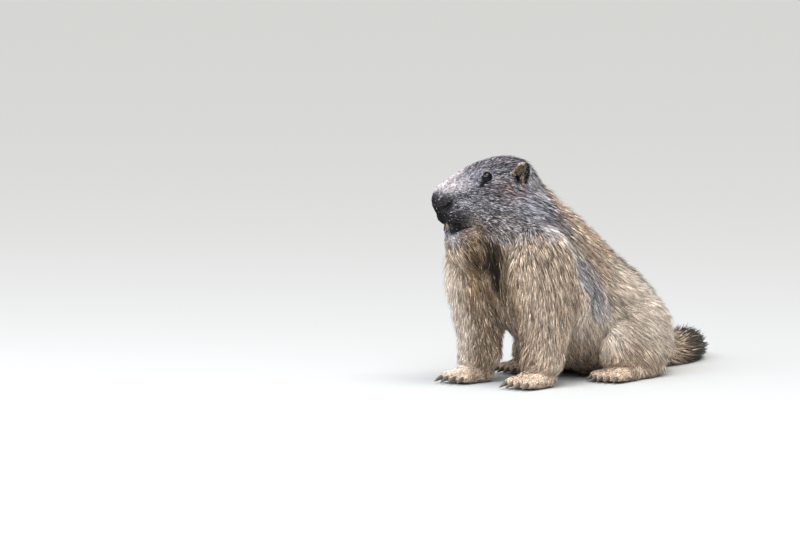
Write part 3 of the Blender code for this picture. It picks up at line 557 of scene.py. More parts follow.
def head_share(p):
    """How surely each point belongs to the head, 0 to 1."""
    s, _, z = head_frame(p)
    underside = 150 + 0.10 * np.maximum(0.0, s - 40)
    return ramp(z - underside, 0, 14) * ramp(120 - s, 0, 14)


BODY_DEPTH = 5.0
CHEEK_DEPTH = 3.0


def coat_depth(p):
    """How deep the skin lies under the tips of the coat, in millimetres."""
    s, _, z = head_frame(p)
    head = head_share(p)
    cheek = CHEEK_DEPTH * ramp(s, 50, 80) * ramp(222 - z, 0, 16)
    body = BODY_DEPTH * np.where(p[:, 1] < 215, ramp(z, 20, 40), 1.0)
    return 0.8 * head * ramp(s, 8, 30) + cheek * head + body * (1 - head)


# %% Fuse, smooth and sink
FUSE_VOXEL = 1.5
SMOOTH_PASSES = 26

skin = remeshed(joined("skin", body_forms()), FUSE_VOXEL)
places = points_of(skin)
head_s, _, _ = head_frame(places)
soft = np.ones(len(places))
on_muzzle = (places[:, 2] > 150) & (places[:, 1] < 20)
soft[on_muzzle] = (0.35 + 0.65 * ramp(head_s, 20, 55))[on_muzzle]
soft[(places[:, 2] < 26) & (places[:, 1] < 100)] = 0.25
group = skin.vertex_groups.new(name="soft")
for level in np.unique(np.round(soft, 2)):
    group.add([int(i) for i in np.flatnonzero(np.round(soft, 2) == level)], float(level), "REPLACE")
smooth = skin.modifiers.new("smooth", "SMOOTH")
smooth.factor = 0.5
smooth.iterations = SMOOTH_PASSES
smooth.vertex_group = "soft"
bake(skin)
skin.vertex_groups.clear()
places = points_of(skin)
set_points(skin, places - normals_of(skin) * coat_depth(places)[:, None])
print("fused skin", len(skin.data.vertices), "points")

# %% [markdown]
# ## The face
# The face is where a viewer looks first. Lids are soft rings that lie on the eyeballs, with a corner
# drawn forwards and down. Each ear is a rounded shell with a cup. Nostrils are comma-shaped and open
# outwards, a cleft runs from them to the lip, and the mouth is a fine line with its lips rolled a little.

# %% Lids
EYE_OUT = (-0.30, 0.92, 0.24)
LID_HALF_LENGTH = 6.2
LID_HALF_HEIGHT = 5.6
LID_FORWARD = 5.0
LID_RADIUS = 1.5
LID_CORNER = math.radians(-42)
LID_CORNER_REACH = 0.5
LID_SAG = 0.09


def eye_centre(side):
    s, w, z = EYE_PLACE
    return head_point(s, w * side, z)


def eye_axes(side):
    """(outwards, forwards along the lids, upwards across them) of an eye."""
    out = head_direction(EYE_OUT[0], EYE_OUT[1] * side, EYE_OUT[2])
    along = head_direction(-1.0, 0.0, -0.22)
    along = (along - out * along.dot(out)).normalized()
    upwards = out.cross(along)
    if upwards.z < 0:
        upwards = -upwards
    return out, along, upwards


def lid_line(side, steps=48):
    """Points round the opening of the lids."""
    out, along, upwards = eye_axes(side)
    centre = eye_centre(side) + out * LID_FORWARD
    line = []
    for i in range(steps):
        angle = 2 * math.pi * i / steps
        corner = max(0.0, math.cos(angle - LID_CORNER)) ** 8
        spoke = along * math.cos(angle) * LID_HALF_LENGTH + upwards * math.sin(angle) * LID_HALF_HEIGHT
        spoke *= 1.0 + LID_CORNER_REACH * corner
        line.append(centre + spoke - out * LID_SAG * (spoke.length - LID_HALF_HEIGHT) ** 2)
    return line


print("opening of the lids, mm", 2 * LID_HALF_LENGTH, "by", 2 * LID_HALF_HEIGHT)


def ring_tube(name, line, axis, radius, sides=10):
    """A closed round tube through the points of a loop."""
    rings = []
    count = len(line)
    middle = sum(line, Vector()) / count
    for place in line:
        radial = (place - middle)
        radial = (radial - axis * radial.dot(axis)).normalized()
        angles = [2 * math.pi * k / sides for k in range(sides)]
        rings.append([place + radial * math.cos(a) * radius + axis * math.sin(a) * radius for a in angles])
    faces = []
    for r in range(count):
        n = (r + 1) % count
        for k in range(sides):
            m = (k + 1) % sides
            faces.append((r * sides + k, r * sides + m, n * sides + m, n * sides + k))
    return mesh_from(name, [p for ring in rings for p in ring], faces)


# %% Ears
EAR_PLACE = (87.5, 34.0, 229.0)
EAR_RADII = (10.5, 6.6, 14.0)
EAR_CUP_RADII = (7.9, 6.0, 11.2)
EAR_CUP_SHIFT = (-2.6, 4.2, 0.0)
EAR_LEAN = math.radians(24)
EAR_SWEEP = math.radians(16)


def ear_turn(side):
    lean = Matrix.Rotation(EAR_LEAN * side, 4, "Y") @ Matrix.Rotation(-EAR_SWEEP, 4, "X")
    return HEAD_AXES @ lean


def ear_form(side):
    """A rounded ear, hollowed on its outer front side, leaning out and back."""
    turn = ear_turn(side)
    s, w, z = EAR_PLACE
    centre = head_point(s, w * side, z)
    body = ellipsoid("ear", centre, (EAR_RADII[1], EAR_RADII[0], EAR_RADII[2]), turn)
    shift = turn @ Vector((EAR_CUP_SHIFT[1] * side, EAR_CUP_SHIFT[0], EAR_CUP_SHIFT[2]))
    cup = ellipsoid("cup", centre + shift, (EAR_CUP_RADII[1], EAR_CUP_RADII[0], EAR_CUP_RADII[2]), turn)
    return boolean(body, [cup], "DIFFERENCE")


# %% Mouth, nostrils and cleft
MOUTH_ROWS = (
    (9.0, 0.0, 173.0),
    (11.0, 7.0, 173.0),
    (17.0, 13.5, 172.5),
    (26.0, 18.5, 172.0),
    (34.0, 22.0, 173.0),
    (40.0, 25.0, 175.0),
)
MOUTH_DEPTH = 6.0
MOUTH_OPEN = 1.5
MOUTH_REACH = 8.0
MOUTH_FLARE = 1.7
MOUTH_EDGE = 0.3
NOSTRIL_ROWS = (
    (-0.5, 7.0, 190.5, 1.7),
    (1.5, 10.0, 190.3, 2.4),
    (4.5, 12.5, 190.8, 2.9),
    (8.5, 15.0, 192.8, 2.6),
    (11.5, 17.0, 197.0, 1.8),
    (12.0, 17.5, 201.0, 0.9),
)
CLEFT_REACH = 6.0
CLEFT_HALF_WIDTH = 3.0
# The cleft: how far back, height, and how deep it cuts.
CLEFT_ROWS = ((-4.0, 198.0, 2.5), (-1.0, 191.0, 6.0), (3.0, 183.0, 11.5), (8.0, 173.0, 9.0))
CANAL = (83.5, 37.0, 224.5)
CANAL_RADII = (2.8, 9.0, 3.8)


def mouth_line(steps=4):
    """The line of the mouth from corner to corner, in the head's frame."""
    rows = smooth_rows(MOUTH_ROWS, steps)
    return [Vector((s, -w, z)) for s, w, z in rows[:0:-1]] + [Vector(r) for r in rows]


def mouth_cutter():
    """A wedge that follows the line of the mouth round the muzzle, open outwards and sharp inwards."""
    line = mouth_line()
    rings = []
    for i, place in enumerate(line):
        ahead = line[min(i + 1, len(line) - 1)] - line[max(i - 1, 0)]
        inward = Vector((ahead.y, -ahead.x, 0)).normalized()
        if inward.dot(Vector((50.0 - place.x, -place.y, 0))) < 0:
            inward = -inward
        end = abs(2 * i / (len(line) - 1) - 1)
        outer = place - inward * MOUTH_REACH
        inner = place + inward * MOUTH_DEPTH * (1.0 - 0.4 * end ** 3) + Vector((0, 0, 0.6))
        flare = MOUTH_OPEN * (1.0 - 0.75 * end ** 2) * MOUTH_FLARE
        corners = ((outer, -flare), (outer, flare), (inner, MOUTH_EDGE), (inner, -MOUTH_EDGE))
        rings.append([head_point(p.x, p.y, p.z + rise) for p, rise in corners])
    return bridged("mouth", rings)


def nostril_cutter(side):
    rows = []
    for s, w, z, radius in NOSTRIL_ROWS:
        rows.append((*head_point(s, w * side, z), radius, radius * 1.15))
    return loft("nostril", rows, sides=16, steps=4)


def cleft_cutter():
    rings = []
    for s, z, deep in CLEFT_ROWS:
        front = [head_point(s - CLEFT_REACH, w, z) for w in (CLEFT_HALF_WIDTH, -CLEFT_HALF_WIDTH)]
        rings.append([*front, head_point(s + deep, 0.0, z)])
    return bridged("cleft", rings)


# %% Add them to the skin and keep the fine detail
FINE_VOXEL = 1.05
SKIN_TRIANGLES = 185000
SOCKET_RADIUS = 7.5

additions = [ear_form(side) for side in (1, -1)]
additions += [ring_tube("lids", lid_line(side), eye_axes(side)[0], LID_RADIUS) for side in (1, -1)]
boolean(skin, additions, "UNION")
cutters = [ellipsoid("socket", eye_centre(side), (SOCKET_RADIUS,) * 3) for side in (1, -1)]
cutters += [nostril_cutter(side) for side in (1, -1)] + [cleft_cutter(), mouth_cutter()]
cutters += [head_ellipsoid("canal", (CANAL[0], CANAL[1] * side, CANAL[2]), CANAL_RADII) for side in (1, -1)]
boolean(skin, cutters, "DIFFERENCE")
remeshed(skin, FINE_VOXEL)
relax = skin.modifiers.new("relax", "SMOOTH")
relax.factor = 0.5
relax.iterations = 2
skin.modifiers.new("split", "TRIANGULATE")
bake(skin)
places = points_of(skin)
places[:, 2] = np.maximum(places[:, 2], 0.0)
set_points(skin, places)
print("fine skin", len(skin.data.polygons), "triangles before thinning")
reduce = skin.modifiers.new("thin", "DECIMATE")
reduce.ratio = min(1.0, SKIN_TRIANGLES / len(skin.data.polygons))
bake(skin)
print("skin", len(skin.data.polygons), "triangles")

# %% [markdown]
# ## The lie of the coat
# Hair on a body flows like water: back over the head, down the neck and chest, out over the shoulder,
# along the back to the tail. A few drawn lines say which way, and every point of the skin takes the
# direction of the lines near it.

# %% Lines of flow
# Each line of the head, in its own frame, and of the body; those marked True are also mirrored.
HEAD_LINES = (
    (((8, 0, 214), (40, 0, 236), (80, 0, 246), (112, 0, 236)), False),
    (((12, 16, 190), (45, 30, 190), (80, 44, 180), (104, 46, 164)), True),
    (((30, 26, 214), (70, 38, 216), (104, 40, 200)), True),
    (((24, 14, 176), (50, 27, 168), (78, 36, 152)), True),
    (((18, 0, 160), (45, 0, 152), (70, 0, 140)), False),
    (((93, 40, 243), (80, 42, 221)), True),
)
BODY_LINES = (
    (((-16, 30, 232), (-6, 70, 206), (0, 110, 160), (0, 160, 116), (0, 205, 76), (0, 236, 46)), False),
    (((-6, 240, 42), (-10, 275, 34), (-30, 320, 32), (-55, 362, 24)), False),
    (((-8, 240, 10), (-14, 275, 4), (-34, 320, 3), (-60, 366, 3)), False),
    (((16, 268, 20), (2, 305, 18), (-18, 345, 15), (-56, 374, 12)), False),
    (((-30, 262, 20), (-40, 300, 18), (-60, 340, 15), (-72, 374, 12)), False),
    (((0, -42, 160), (0, -38, 120), (0, -22, 84), (0, 20, 44), (0, 90, 12), (0, 150, 2)), False),
    (((38, 34, 192), (62, 60, 150), (72, 92, 112), (74, 130, 80), (72, 170, 40), (60, 205, 20)), True),
    (((58, 20, 168), (74, 44, 128), (76, 66, 84), (68, 90, 40)), True),
    (((40, -24, 172), (60, -30, 140), (66, -26, 100), (60, -24, 60), (54, -22, 30)), True),
    (((62, 16, 150), (82, 14, 112), (78, 16, 76), (66, 14, 36)), True),
    (((24, -34, 150), (20, -30, 110), (20, -22, 70), (26, -16, 34)), True),
    (((66, 96, 92), (84, 128, 70), (84, 160, 44), (74, 186, 16)), True),
    (((70, 84, 66), (84, 104, 44), (80, 132, 20)), True),
    (((44, 62, 180), (44, 104, 146), (46, 150, 108), (44, 196, 72), (34, 226, 40)), True),
    (((46, 6, 20), (46, -24, 20), (47, -52, 8)), True),
    (((64, 130, 22), (67, 96, 20), (68, 70, 8)), True),
)


def flow_stretches():
    """(start, end) of each stretch of the lines, in the animal's frame."""
    lines = []
    for line, both in HEAD_LINES:
        for side in (1, -1)[:1 + both]:
            lines.append([head_point(s, w * side, z) for s, w, z in line])
    for line, both in BODY_LINES:
        for side in (1, -1)[:1 + both]:
            lines.append([Vector((x * side, y, z)) for x, y, z in line])
    return [(np.array(a), np.array(b)) for line in lines for a, b in zip(line, line[1:])]


print("stretches of flow", len(flow_stretches()))


def distance_to(p, a, b):
    """How far points are from the stretch between a and b."""
    a, b = np.array(a, float), np.array(b, float)
    along = b - a
    share = np.clip((p - a) @ along / max(along @ along, 1e-9), 0.0, 1.0)
    return np.linalg.norm(p - (a + share[:, None] * along), axis=1)


def lie_at(p, normals):
    """The way the hair points, square to the normals."""
    total = np.zeros_like(p)
    for a, b in flow_stretches():
        direction = (b - a) / np.linalg.norm(b - a)
        total += direction / (6.0 + distance_to(p, a, b))[:, None] ** 4
    total /= np.linalg.norm(total, axis=1)[:, None]
    total -= normals * np.sum(total * normals, axis=1)[:, None]
    return total / np.maximum(np.linalg.norm(total, axis=1), 1e-6)[:, None]


# %% [markdown]
# ## Markings
# An alpine marmot is grey on the head, cream and tan on the body, with dark hair mixed in. Each marking
# is a soft stroke on the body: where it runs, how wide it is, the colour of the hair at its root and at
# its tip, and how many dark and how many pale hairs are mixed in. Skin and coat read the same strokes.
# A few strokes are painted shade: under the chin, down the hollow of the chest, on the ears, down the
# cleft and along the mouth's corner.

# %% Colours and strokes


def colour(red, green, blue):
    """A display colour, 0 to 255, as linear light."""
    value = np.array((red, green, blue)) / 255
    return np.where(value <= 0.04045, value / 12.92, ((value + 0.055) / 1.055) ** 2.4)


def paint(red, green, blue):
    """The same as a shader takes it, with its alpha."""
    return (*colour(red, green, blue), 1)


CREAM = colour(236, 212, 187)
MILK = colour(254, 242, 229)
WHITE = colour(244, 240, 240)
BLOND = colour(214, 192, 168)
STRAW = colour(224, 196, 169)
PALE = colour(222, 214, 208)
TAN = colour(180, 152, 122)
OCHRE = colour(160, 132, 100)
BROWN = colour(112, 90, 70)
DEEP_BROWN = colour(62, 46, 32)
PINKISH = colour(232, 212, 202)
SMOKE = colour(138, 136, 148)
STEEL = colour(108, 106, 116)
FROST = colour(222, 221, 230)
SLATE = colour(62, 62, 72)
SILVER = colour(196, 195, 204)
ASH = colour(107, 104, 109)
CROWN = colour(124, 113, 122)
RUSSET = colour(176, 144, 136)
HONEY = colour(204, 164, 116)
UMBER = colour(88, 66, 57)
SOOT = colour(26, 24, 26)
NOSE_DARK = colour(68, 61, 64)
PAD_DARK = colour(36, 34, 40)
NOSE_PALE = colour(206, 190, 190)

# Strokes on the body, on both sides alike: start, end, radius, share, root, tip, dark hairs, pale hairs.
BODY_STROKES = (
    ((0, -50, 170), (0, -46, 120), 30, 0.85, BROWN, TAN, 0.42, 0.08),
    ((40, -30, 150), (60, -30, 110), 22, 0.7, BROWN, STRAW, 0.34, 0.32),
    ((30, -30, 168), (60, 0, 150), 24, 0.7, BROWN, STRAW, 0.34, 0.36),
    ((64, 10, 150), (78, 20, 90), 28, 0.8, BROWN, STRAW, 0.3, 0.36),
    ((58, 48, 82), (60, 82, 60), 27, 0.92, BLOND, MILK, 0.08, 0.45),
    ((64, -34, 120), (60, -28, 26), 20, 0.85, TAN, CREAM, 0.2, 0.4),
    ((70, 0, 60), (58, 4, 26), 26, 0.8, TAN, CREAM, 0.2, 0.45),
    ((18, -30, 104), (24, -24, 30), 24, 0.85, BROWN, TAN, 0.25, 0.12),
    ((26, -42, 126), (27, -40, 78), 13, 0.75, OCHRE, HONEY, 0.16, 0.14),
    # Partly the brown of the throat, partly painted shade under the chin.
    ((0, -56, 154), (10, -46, 143), 16, 0.85, DEEP_BROWN, OCHRE, 0.45, 0.06),
    ((0, 70, 205), (0, 130, 150), 36, 0.9, OCHRE, PINKISH, 0.24, 0.4),
    ((50, 110, 110), (50, 180, 84), 34, 0.9, CREAM, MILK, 0.04, 0.4),
    ((66, 150, 70), (50, 205, 60), 46, 0.95, CREAM, MILK, 0.02, 0.4),
    ((24, 136, 146), (26, 200, 98), 30, 0.92, DEEP_BROWN, UMBER, 0.5, 0.1),
    ((26, 4, 214), (50, 20, 172), 16, 0.88, SLATE, SMOKE, 0.36, 0.22),
    ((60, 28, 138), (73, 66, 84), 16, 0.88, STEEL, FROST, 0.34, 0.14),
    ((50, -4, 166), (56, 12, 150), 12, 0.85, ASH, WHITE, 0.12, 0.2),
)
# Strokes on one side only, where x keeps its sign: the right foreleg's pale outside, painted shade down
# the hollow of the chest, and the end of the tail.
SIDED_STROKES = (
    ((-66, -34, 122), (-61, -28, 28), 25, 0.95, CREAM, MILK, 0.05, 0.5),
    # Painted shade: deep brown down the hollow of the chest, between the shoulders' fur.
    ((10, -46, 154), (4, -38, 134), 8.5, 0.97, DEEP_BROWN, DEEP_BROWN, 0.7, 0.0),
    ((4, -38, 134), (-2, -30, 114), 8.5, 0.97, DEEP_BROWN, DEEP_BROWN, 0.7, 0.0),
    ((-20, 300, 16), (-68, 384, 10), 46, 0.95, SOOT, DEEP_BROWN, 0.4, 0.0),
)
# Strokes on the head, in its own frame.
HEAD_STROKES = (
    ((20, 0, 226), (110, 0, 246), 22, 0.95, SLATE, CROWN, 0.4, 0.16),
    ((30, 16, 218), (44, 22, 222), 14, 0.7, SLATE, SILVER, 0.2, 0.2),
    ((11, 14, 212), (24, 16, 215), 9, 0.9, ASH, NOSE_PALE, 0.04, 0.5),
    ((4, 0, 213), (24, 0, 228), 9, 0.92, ASH, NOSE_PALE, 0.04, 0.5),
    ((13, 17, 200), (34, 23, 202), 10.5, 0.95, SLATE, ASH, 0.52, 0.16),
    ((30, 26, 196), (50, 32, 198), 17, 0.7, SLATE, ASH, 0.45, 0.34),
    ((62, 36, 214), (82, 40, 206), 13, 0.75, SLATE, RUSSET, 0.25, 0.25),
    ((52, 24, 222), (48, 26, 210), 13, 0.75, SLATE, CROWN, 0.5, 0.22),
    ((55, 27.5, 216.5), (58, 28.5, 226), 2.2, 0.8, ASH, PALE, 0.0, 0.4),
    ((44, 25, 231), (52, 25, 235), 2.4, 0.8, ASH, PALE, 0.0, 0.4),
    ((47, 27, 226), (46, 26.5, 221), 3.0, 0.85, SOOT, SOOT, 0.6, 0.0),
    ((46.5, 26.5, 221), (43, 26, 217), 2.8, 0.97, SOOT, SOOT, 0.8, 0.0),
    ((60, 36, 180), (92, 44, 170), 22, 0.6, SLATE, ASH, 0.42, 0.45),
    ((92, 40, 192), (112, 40, 214), 17, 0.85, SLATE, SILVER, 0.38, 0.36),
    ((102, 38, 228), (108, 36, 212), 12, 0.9, ASH, PALE, 0.1, 0.6),
    ((1, 0, 198), (8, 12, 196), 10.0, 0.99, SOOT, NOSE_DARK, 0.4, 0.0),
    ((9, 9, 184), (20, 14, 180), 10.0, 0.99, SOOT, PAD_DARK, 0.6, 0.0),
    # Partly the dark skin of the nose, partly painted shade down the cleft of the lip.
    ((0, 0, 194), (9, 2, 174), 7.0, 0.99, SOOT, PAD_DARK, 0.6, 0.0),
    ((23, 18, 199), (28, 20, 198), 4.0, 0.85, ASH, PALE, 0.1, 0.6),
    ((18, 8, 159), (27, 10, 157), 9, 0.85, ASH, PALE, 0.1, 0.5),
    ((17, 10, 168), (27, 16, 169), 4.4, 0.98, SOOT, SOOT, 0.8, 0.0),
    # Painted shade along the crease that runs on from the mouth's corner.
    ((27, 17, 170), (38, 23, 173), 2.3, 0.85, SOOT, SLATE, 0.7, 0.0),
)
# Strokes on the ears, seen from the side: only how far back and how high count.
EAR_STROKES = (
    ((82, 0, 237), (86, 0, 228), 10.0, 0.97, DEEP_BROWN, OCHRE, 0.4, 0.14),
    ((75, 0, 240), (87, 0, 243), 1.8, 0.85, OCHRE, BLOND, 0.0, 0.3),
    ((87, 0, 243), (94, 0, 242), 1.5, 0.85, OCHRE, BLOND, 0.0, 0.3),
    # Painted shadow: black bands down the back edge of the ear, where the rim shades its inside.
    ((91.5, 0, 240), (94, 0, 235), 2.0, 0.97, SOOT, SOOT, 0.8, 0.0),
    ((94, 0, 235), (92.5, 0, 222), 2.1, 0.97, SOOT, SOOT, 0.8, 0.0),
    # Painted shade in the ear's opening.
    ((84, 0, 227), (83.5, 0, 222), 3.6, 0.97, SOOT, SOOT, 0.9, 0.0),
)
HEAD_BASE = (SLATE, ASH, 0.45, 0.27)
BODY_BASE = (TAN, STRAW, 0.24, 0.34)
print("strokes", [len(strokes) for strokes in (BODY_STROKES, SIDED_STROKES, HEAD_STROKES, EAR_STROKES)])


def near_ear(p):
    found = np.zeros(len(p), bool)
    for side in (1, -1):
        s, w, z = EAR_PLACE
        middle = np.array(head_point(s, w * side, z + 3))
        found |= np.linalg.norm((p - middle) / np.array([12, 12, 16]), axis=1) < 1.0
    return found


def markings(p):
    """(root colour, tip colour, shares of dark and pale hairs) of the coat at each point."""
    head = head_share(p)[:, None]
    base = [np.hstack([np.array(part, float).ravel() for part in each]) for each in (BODY_BASE, HEAD_BASE)]
    found = base[0] * (1 - head) + base[1] * head
    s, w, z = head_frame(p)
    on_body = np.column_stack([np.abs(p[:, 0]), p[:, 1], p[:, 2]])
    on_head = np.column_stack([s, np.abs(w), z])
    on_ear = np.column_stack([s, 0 * w, z])
    for strokes, where, weight in ((BODY_STROKES, on_body, 1.0), (SIDED_STROKES, p, 1.0),
                                   (HEAD_STROKES, on_head, head[:, 0]),
                                   (EAR_STROKES, on_ear, near_ear(p).astype(float))):
        for a, b, radius, share, root, tip, dark, pale in strokes:
            near = distance_to(where, a, b)
            cover = (share * np.exp(-(near / radius) ** 4) * weight)[:, None]
            wanted = np.hstack([root, tip, [dark, pale]])
            found = found * (1 - cover) + wanted * cover
    return found[:, 0:3], found[:, 3:6], found[:, 6:8]


# %% [markdown]
# ## Sizes of the hair
# Hair is a few millimetres long on the face and feet, two centimetres on the body and three on the tail.
# Each point of the skin carries the length and width of its tufts, how high they stand and how many grow
# there. A painted map could hold that too, but sizes worked out from the place need no picture.

# %% Hair sizes over the skin


# Length, width and lift in millimetres, tufts and clumps in a square centimetre.
TAIL_HAIR = (30, 0.8, 7.5, 90, 4)
FOOT_HAIR = (5.0, 0.42, 1.0, 170, 14)
EAR_HAIR = (4.6, 0.45, 0.9, 200, 14)


def hair_sizes(p):
    """The same five sizes at each point."""
    s, _, z = head_frame(p)
    head = head_share(p)[:, None]
    rear = ramp(s, 30, 95)
    head_sizes = np.column_stack([4.2 + 8.5 * rear ** 1.3, 0.46 + 0.12 * rear, 0.9 + 2.1 * rear,
                                  200 - 60 * rear, 22 - 11 * rear])
    leg = ramp(120 - z, 0, 90) * ramp(40 - p[:, 1], 0, 30)
    sizes = np.column_stack([19 - 5 * leg, 0.62 - 0.06 * leg, 5.0 - 1.4 * leg, 96 + 10 * leg, 8 + 2 * leg])
    tail = ramp(p[:, 1], 232, 262)
    foot = ramp(30 - z, 0, 14) * ramp(120 - p[:, 1], 0, 20)
    for share, wanted in ((tail, TAIL_HAIR), (foot, FOOT_HAIR)):
        sizes = sizes * (1 - share[:, None]) + np.array(wanted) * share[:, None]
    return head_sizes * head + sizes * (1 - head)


def near_nostrils(p, wide, full):
    """1 as far as `full` from the wall of a nostril, falling to 0 at `wide`, in millimetres."""
    s, w, z = head_frame(p)
    here = np.column_stack([s, np.abs(w), z])
    return np.max([ramp(distance_to(here, a[:3], b[:3]), a[3] + wide, a[3] + full)
                   for a, b in zip(NOSTRIL_ROWS, NOSTRIL_ROWS[1:])], axis=0)


def near_mouth(p, wide, full):
    """The same for the line of the mouth."""
    here = np.column_stack(head_frame(p))
    line = mouth_line(2)
    return np.max([ramp(distance_to(here, a, b), wide, full) for a, b in zip(line, line[1:])], axis=0)


def hole_share(p):
    """Where the skin turns in and is painted almost black as shade: nostrils, the line of the mouth and the
    ears' canals.
    """
    s, w, z = head_frame(p)
    from_canal = (np.column_stack([s, np.abs(w), z]) - np.array(CANAL)) / np.array(CANAL_RADII)
    canal = ramp(np.linalg.norm(from_canal, axis=1), 1.3, 1.05)
    return np.max([near_nostrils(p, 1.7, 0.4), near_mouth(p, 1.6, 0.9), canal], axis=0)


def bare_share(p):
    """Where no hair grows: over the eyes, round the nostrils, along the lips and in the ears' canals."""
    shares = [near_nostrils(p, 1.4, 0.5), near_mouth(p, 2.4, 1.4), hole_share(p)]
    for side in (1, -1):
        middle = eye_centre(side) + eye_axes(side)[0] * LID_FORWARD
        shares.append(ramp(np.linalg.norm(p - np.array(middle), axis=1), 7.0, 6.0))
    return np.max(shares, axis=0) * (head_share(p) > 0.2)


# %% Regions of the coat, each small enough for one piece
REGIONS = ("face", "crown", "cheeks", "ears", "neck", "chest", "foreleg_left", "foreleg_right", "flank_left",
           "flank_right", "back", "rump_left", "rump_right", "tail")


FRONT_END = 34
FRONT_TOP = 150
FORELEG_TOP = 125
FORELEG_INSIDE = 30
FLANK_INSIDE = 40
BACK_TOP = 132
RUMP_START = 150
TAIL_START = 236
CROWN_BOTTOM = 212
FACE_END = 50


def region_of(p):
    """The number of each point's region. A later row takes points from an earlier one."""
    s, _, z = head_frame(p)
    x, y = p[:, 0], p[:, 1]
    head = head_share(p) > 0.5
    front = (y < FRONT_END) & (z < FRONT_TOP)
    foreleg = front & (z < FORELEG_TOP)
    flank = z < FRONT_TOP
    rump = y > RUMP_START
    found = np.full(len(p), REGIONS.index("neck"))
    for name, where in (("back", z < BACK_TOP), ("flank_left", flank & (x > FLANK_INSIDE)),
                        ("flank_right", flank & (x < -FLANK_INSIDE)),
                        ("rump_left", rump & (x > 0)), ("rump_right", rump & (x <= 0)),
                        ("chest", front), ("foreleg_left", foreleg & (x > FORELEG_INSIDE)),
                        ("foreleg_right", foreleg & (x < -FORELEG_INSIDE)), ("tail", y > TAIL_START),
                        ("cheeks", head), ("crown", head & (z > CROWN_BOTTOM)),
                        ("face", head & (s < FACE_END)), ("ears", head & near_ear(p))):
        found[where] = REGIONS.index(name)
    return found


# %% Store them on the skin


PER_SQUARE_CM = 1e4


def store(mesh, name, kind, values):
    made = mesh.attributes.new(name, kind, "POINT")
    made.data.foreach_set({"FLOAT": "value", "INT": "value", "FLOAT_COLOR": "color"}.get(kind, "vector"),
                          np.ascontiguousarray(values).ravel())


places = points_of(skin)
normals = normals_of(skin)
root_colour, tip_colour, mix_share = markings(places)
sizes = hair_sizes(places)
sizes[near_ear(places)] = EAR_HAIR
growth = 1 - bare_share(places)
growth[places[:, 2] < 0.6] = 0.0
ones = np.ones((len(places), 1))
store(skin.data, "ahead", "FLOAT_VECTOR", lie_at(places, normals))
store(skin.data, "root_colour", "FLOAT_COLOR", np.hstack([root_colour, ones]))
store(skin.data, "tip_colour", "FLOAT_COLOR", np.hstack([tip_colour, ones]))
store(skin.data, "mix_share", "FLOAT_VECTOR", np.hstack([mix_share, 0 * ones]))
for column, name in enumerate(("hair_length", "hair_width", "hair_lift")):
    store(skin.data, name, "FLOAT", sizes[:, column] * MM)
store(skin.data, "tufts", "FLOAT", sizes[:, 3] * PER_SQUARE_CM * growth)
store(skin.data, "clumps", "FLOAT", sizes[:, 4] * PER_SQUARE_CM)
store(skin.data, "bare", "FLOAT", bare_share(places))
store(skin.data, "hole", "FLOAT", hole_share(places))
store(skin.data, "region", "INT", region_of(places).astype(np.int32))
skin.data.shade_smooth()
skin.data.transform(Matrix.Translation(SHIFT * MM))
print("points that carry hair", int((growth > 0).sum()), "of", len(growth))

# %% [markdown]
# The coat's colours are baked later onto a map of the skin. Each tuft will be one small patch on that map
# at the place of its root, so the skin is unwrapped first, by its own shape.

# %% Unwrap the skin
bpy.context.view_layer.objects.active = skin
for other in bpy.context.selected_objects:
    other.select_set(False)
skin.select_set(True)
skin.data.uv_layers.new(name="OFBake")
bpy.ops.object.mode_set(mode="EDIT")
bpy.ops.mesh.select_all(action="SELECT")
bpy.ops.uv.smart_project(angle_limit=math.radians(66), island_margin=0.001)
bpy.ops.object.mode_set(mode="OBJECT")
print("unwrapped", len(skin.data.uv_layers["OFBake"].data), "corners")

# %% [markdown]
# ## One tuft
# Real fur is far too fine to model hair by hair. A tuft stands for a few hairs that stick together: a
# thin blade of three sides that swells a little, then runs out to a point. It is one unit long along X,
# and carries how far along and how high in its own section each point lies, so that the tree can bend it
# later.

# %% Tuft meshes


def tuft(name, rings):
    """A blade through rings of (share along, width), with a point at its root and one at its tip."""
    corners = ((0.5, 0.0), (-0.5, 0.0), (0.0, 0.6))
    rows = [(0.0, 0.0, 0.0)]
    for share, width in rings:
        rows += [(share, y * width, z * width) for y, z in corners]
    rows.append((1.0, 0.0, 0.0))
    along, across, section = (np.array(column) for column in zip(*rows))
    tip = len(rows) - 1
    faces = [(0, 1 + k, 1 + (k + 1) % 3) for k in range(3)]
    for r in range(len(rings) - 1):
        for k in range(3):
            m = (k + 1) % 3
            faces.append((1 + 3 * r + k, 1 + 3 * r + m, 4 + 3 * r + m, 4 + 3 * r + k))
    faces += [(tip - 3 + k, tip - 3 + (k + 1) % 3, tip) for k in range(3)]
    mesh = bpy.data.meshes.new(name)
    mesh.from_pydata(rows, [], faces)
    obj = add_object(name, mesh)
    shape = bmesh.new()
    shape.from_mesh(mesh)
    turn_out(shape)
    shape.to_mesh(mesh)
    shape.free()
    store(mesh, "along", "FLOAT", along)
    store(mesh, "section", "FLOAT", section)
    store(mesh, "across", "FLOAT", across)
    mesh.shade_smooth()
    return obj


long_tuft = tuft("long_tuft", ((0.3, 1.0), (0.68, 0.75)))
short_tuft = tuft("short_tuft", ((0.42, 1.0),))
print("triangles in a long tuft", triangles_in(long_tuft), "and in a short one", triangles_in(short_tuft))

# %% [markdown]
# ## Growing the coat
# Geometry Nodes scatter tufts over the skin. Each is turned along the lie, and its tip is drawn towards
# the tip of the nearest clump, as damp or greasy hairs draw together. A slow noise makes the strands
# wander. Last, each point is set to its own height over the skin, so that a long tuft follows the body
# and doesn't stab it. Blender's own hair is quicker to comb, but only the renderer draws it, and this coat
# has to be a mesh that can leave Blender.

# %% Helpers for node trees


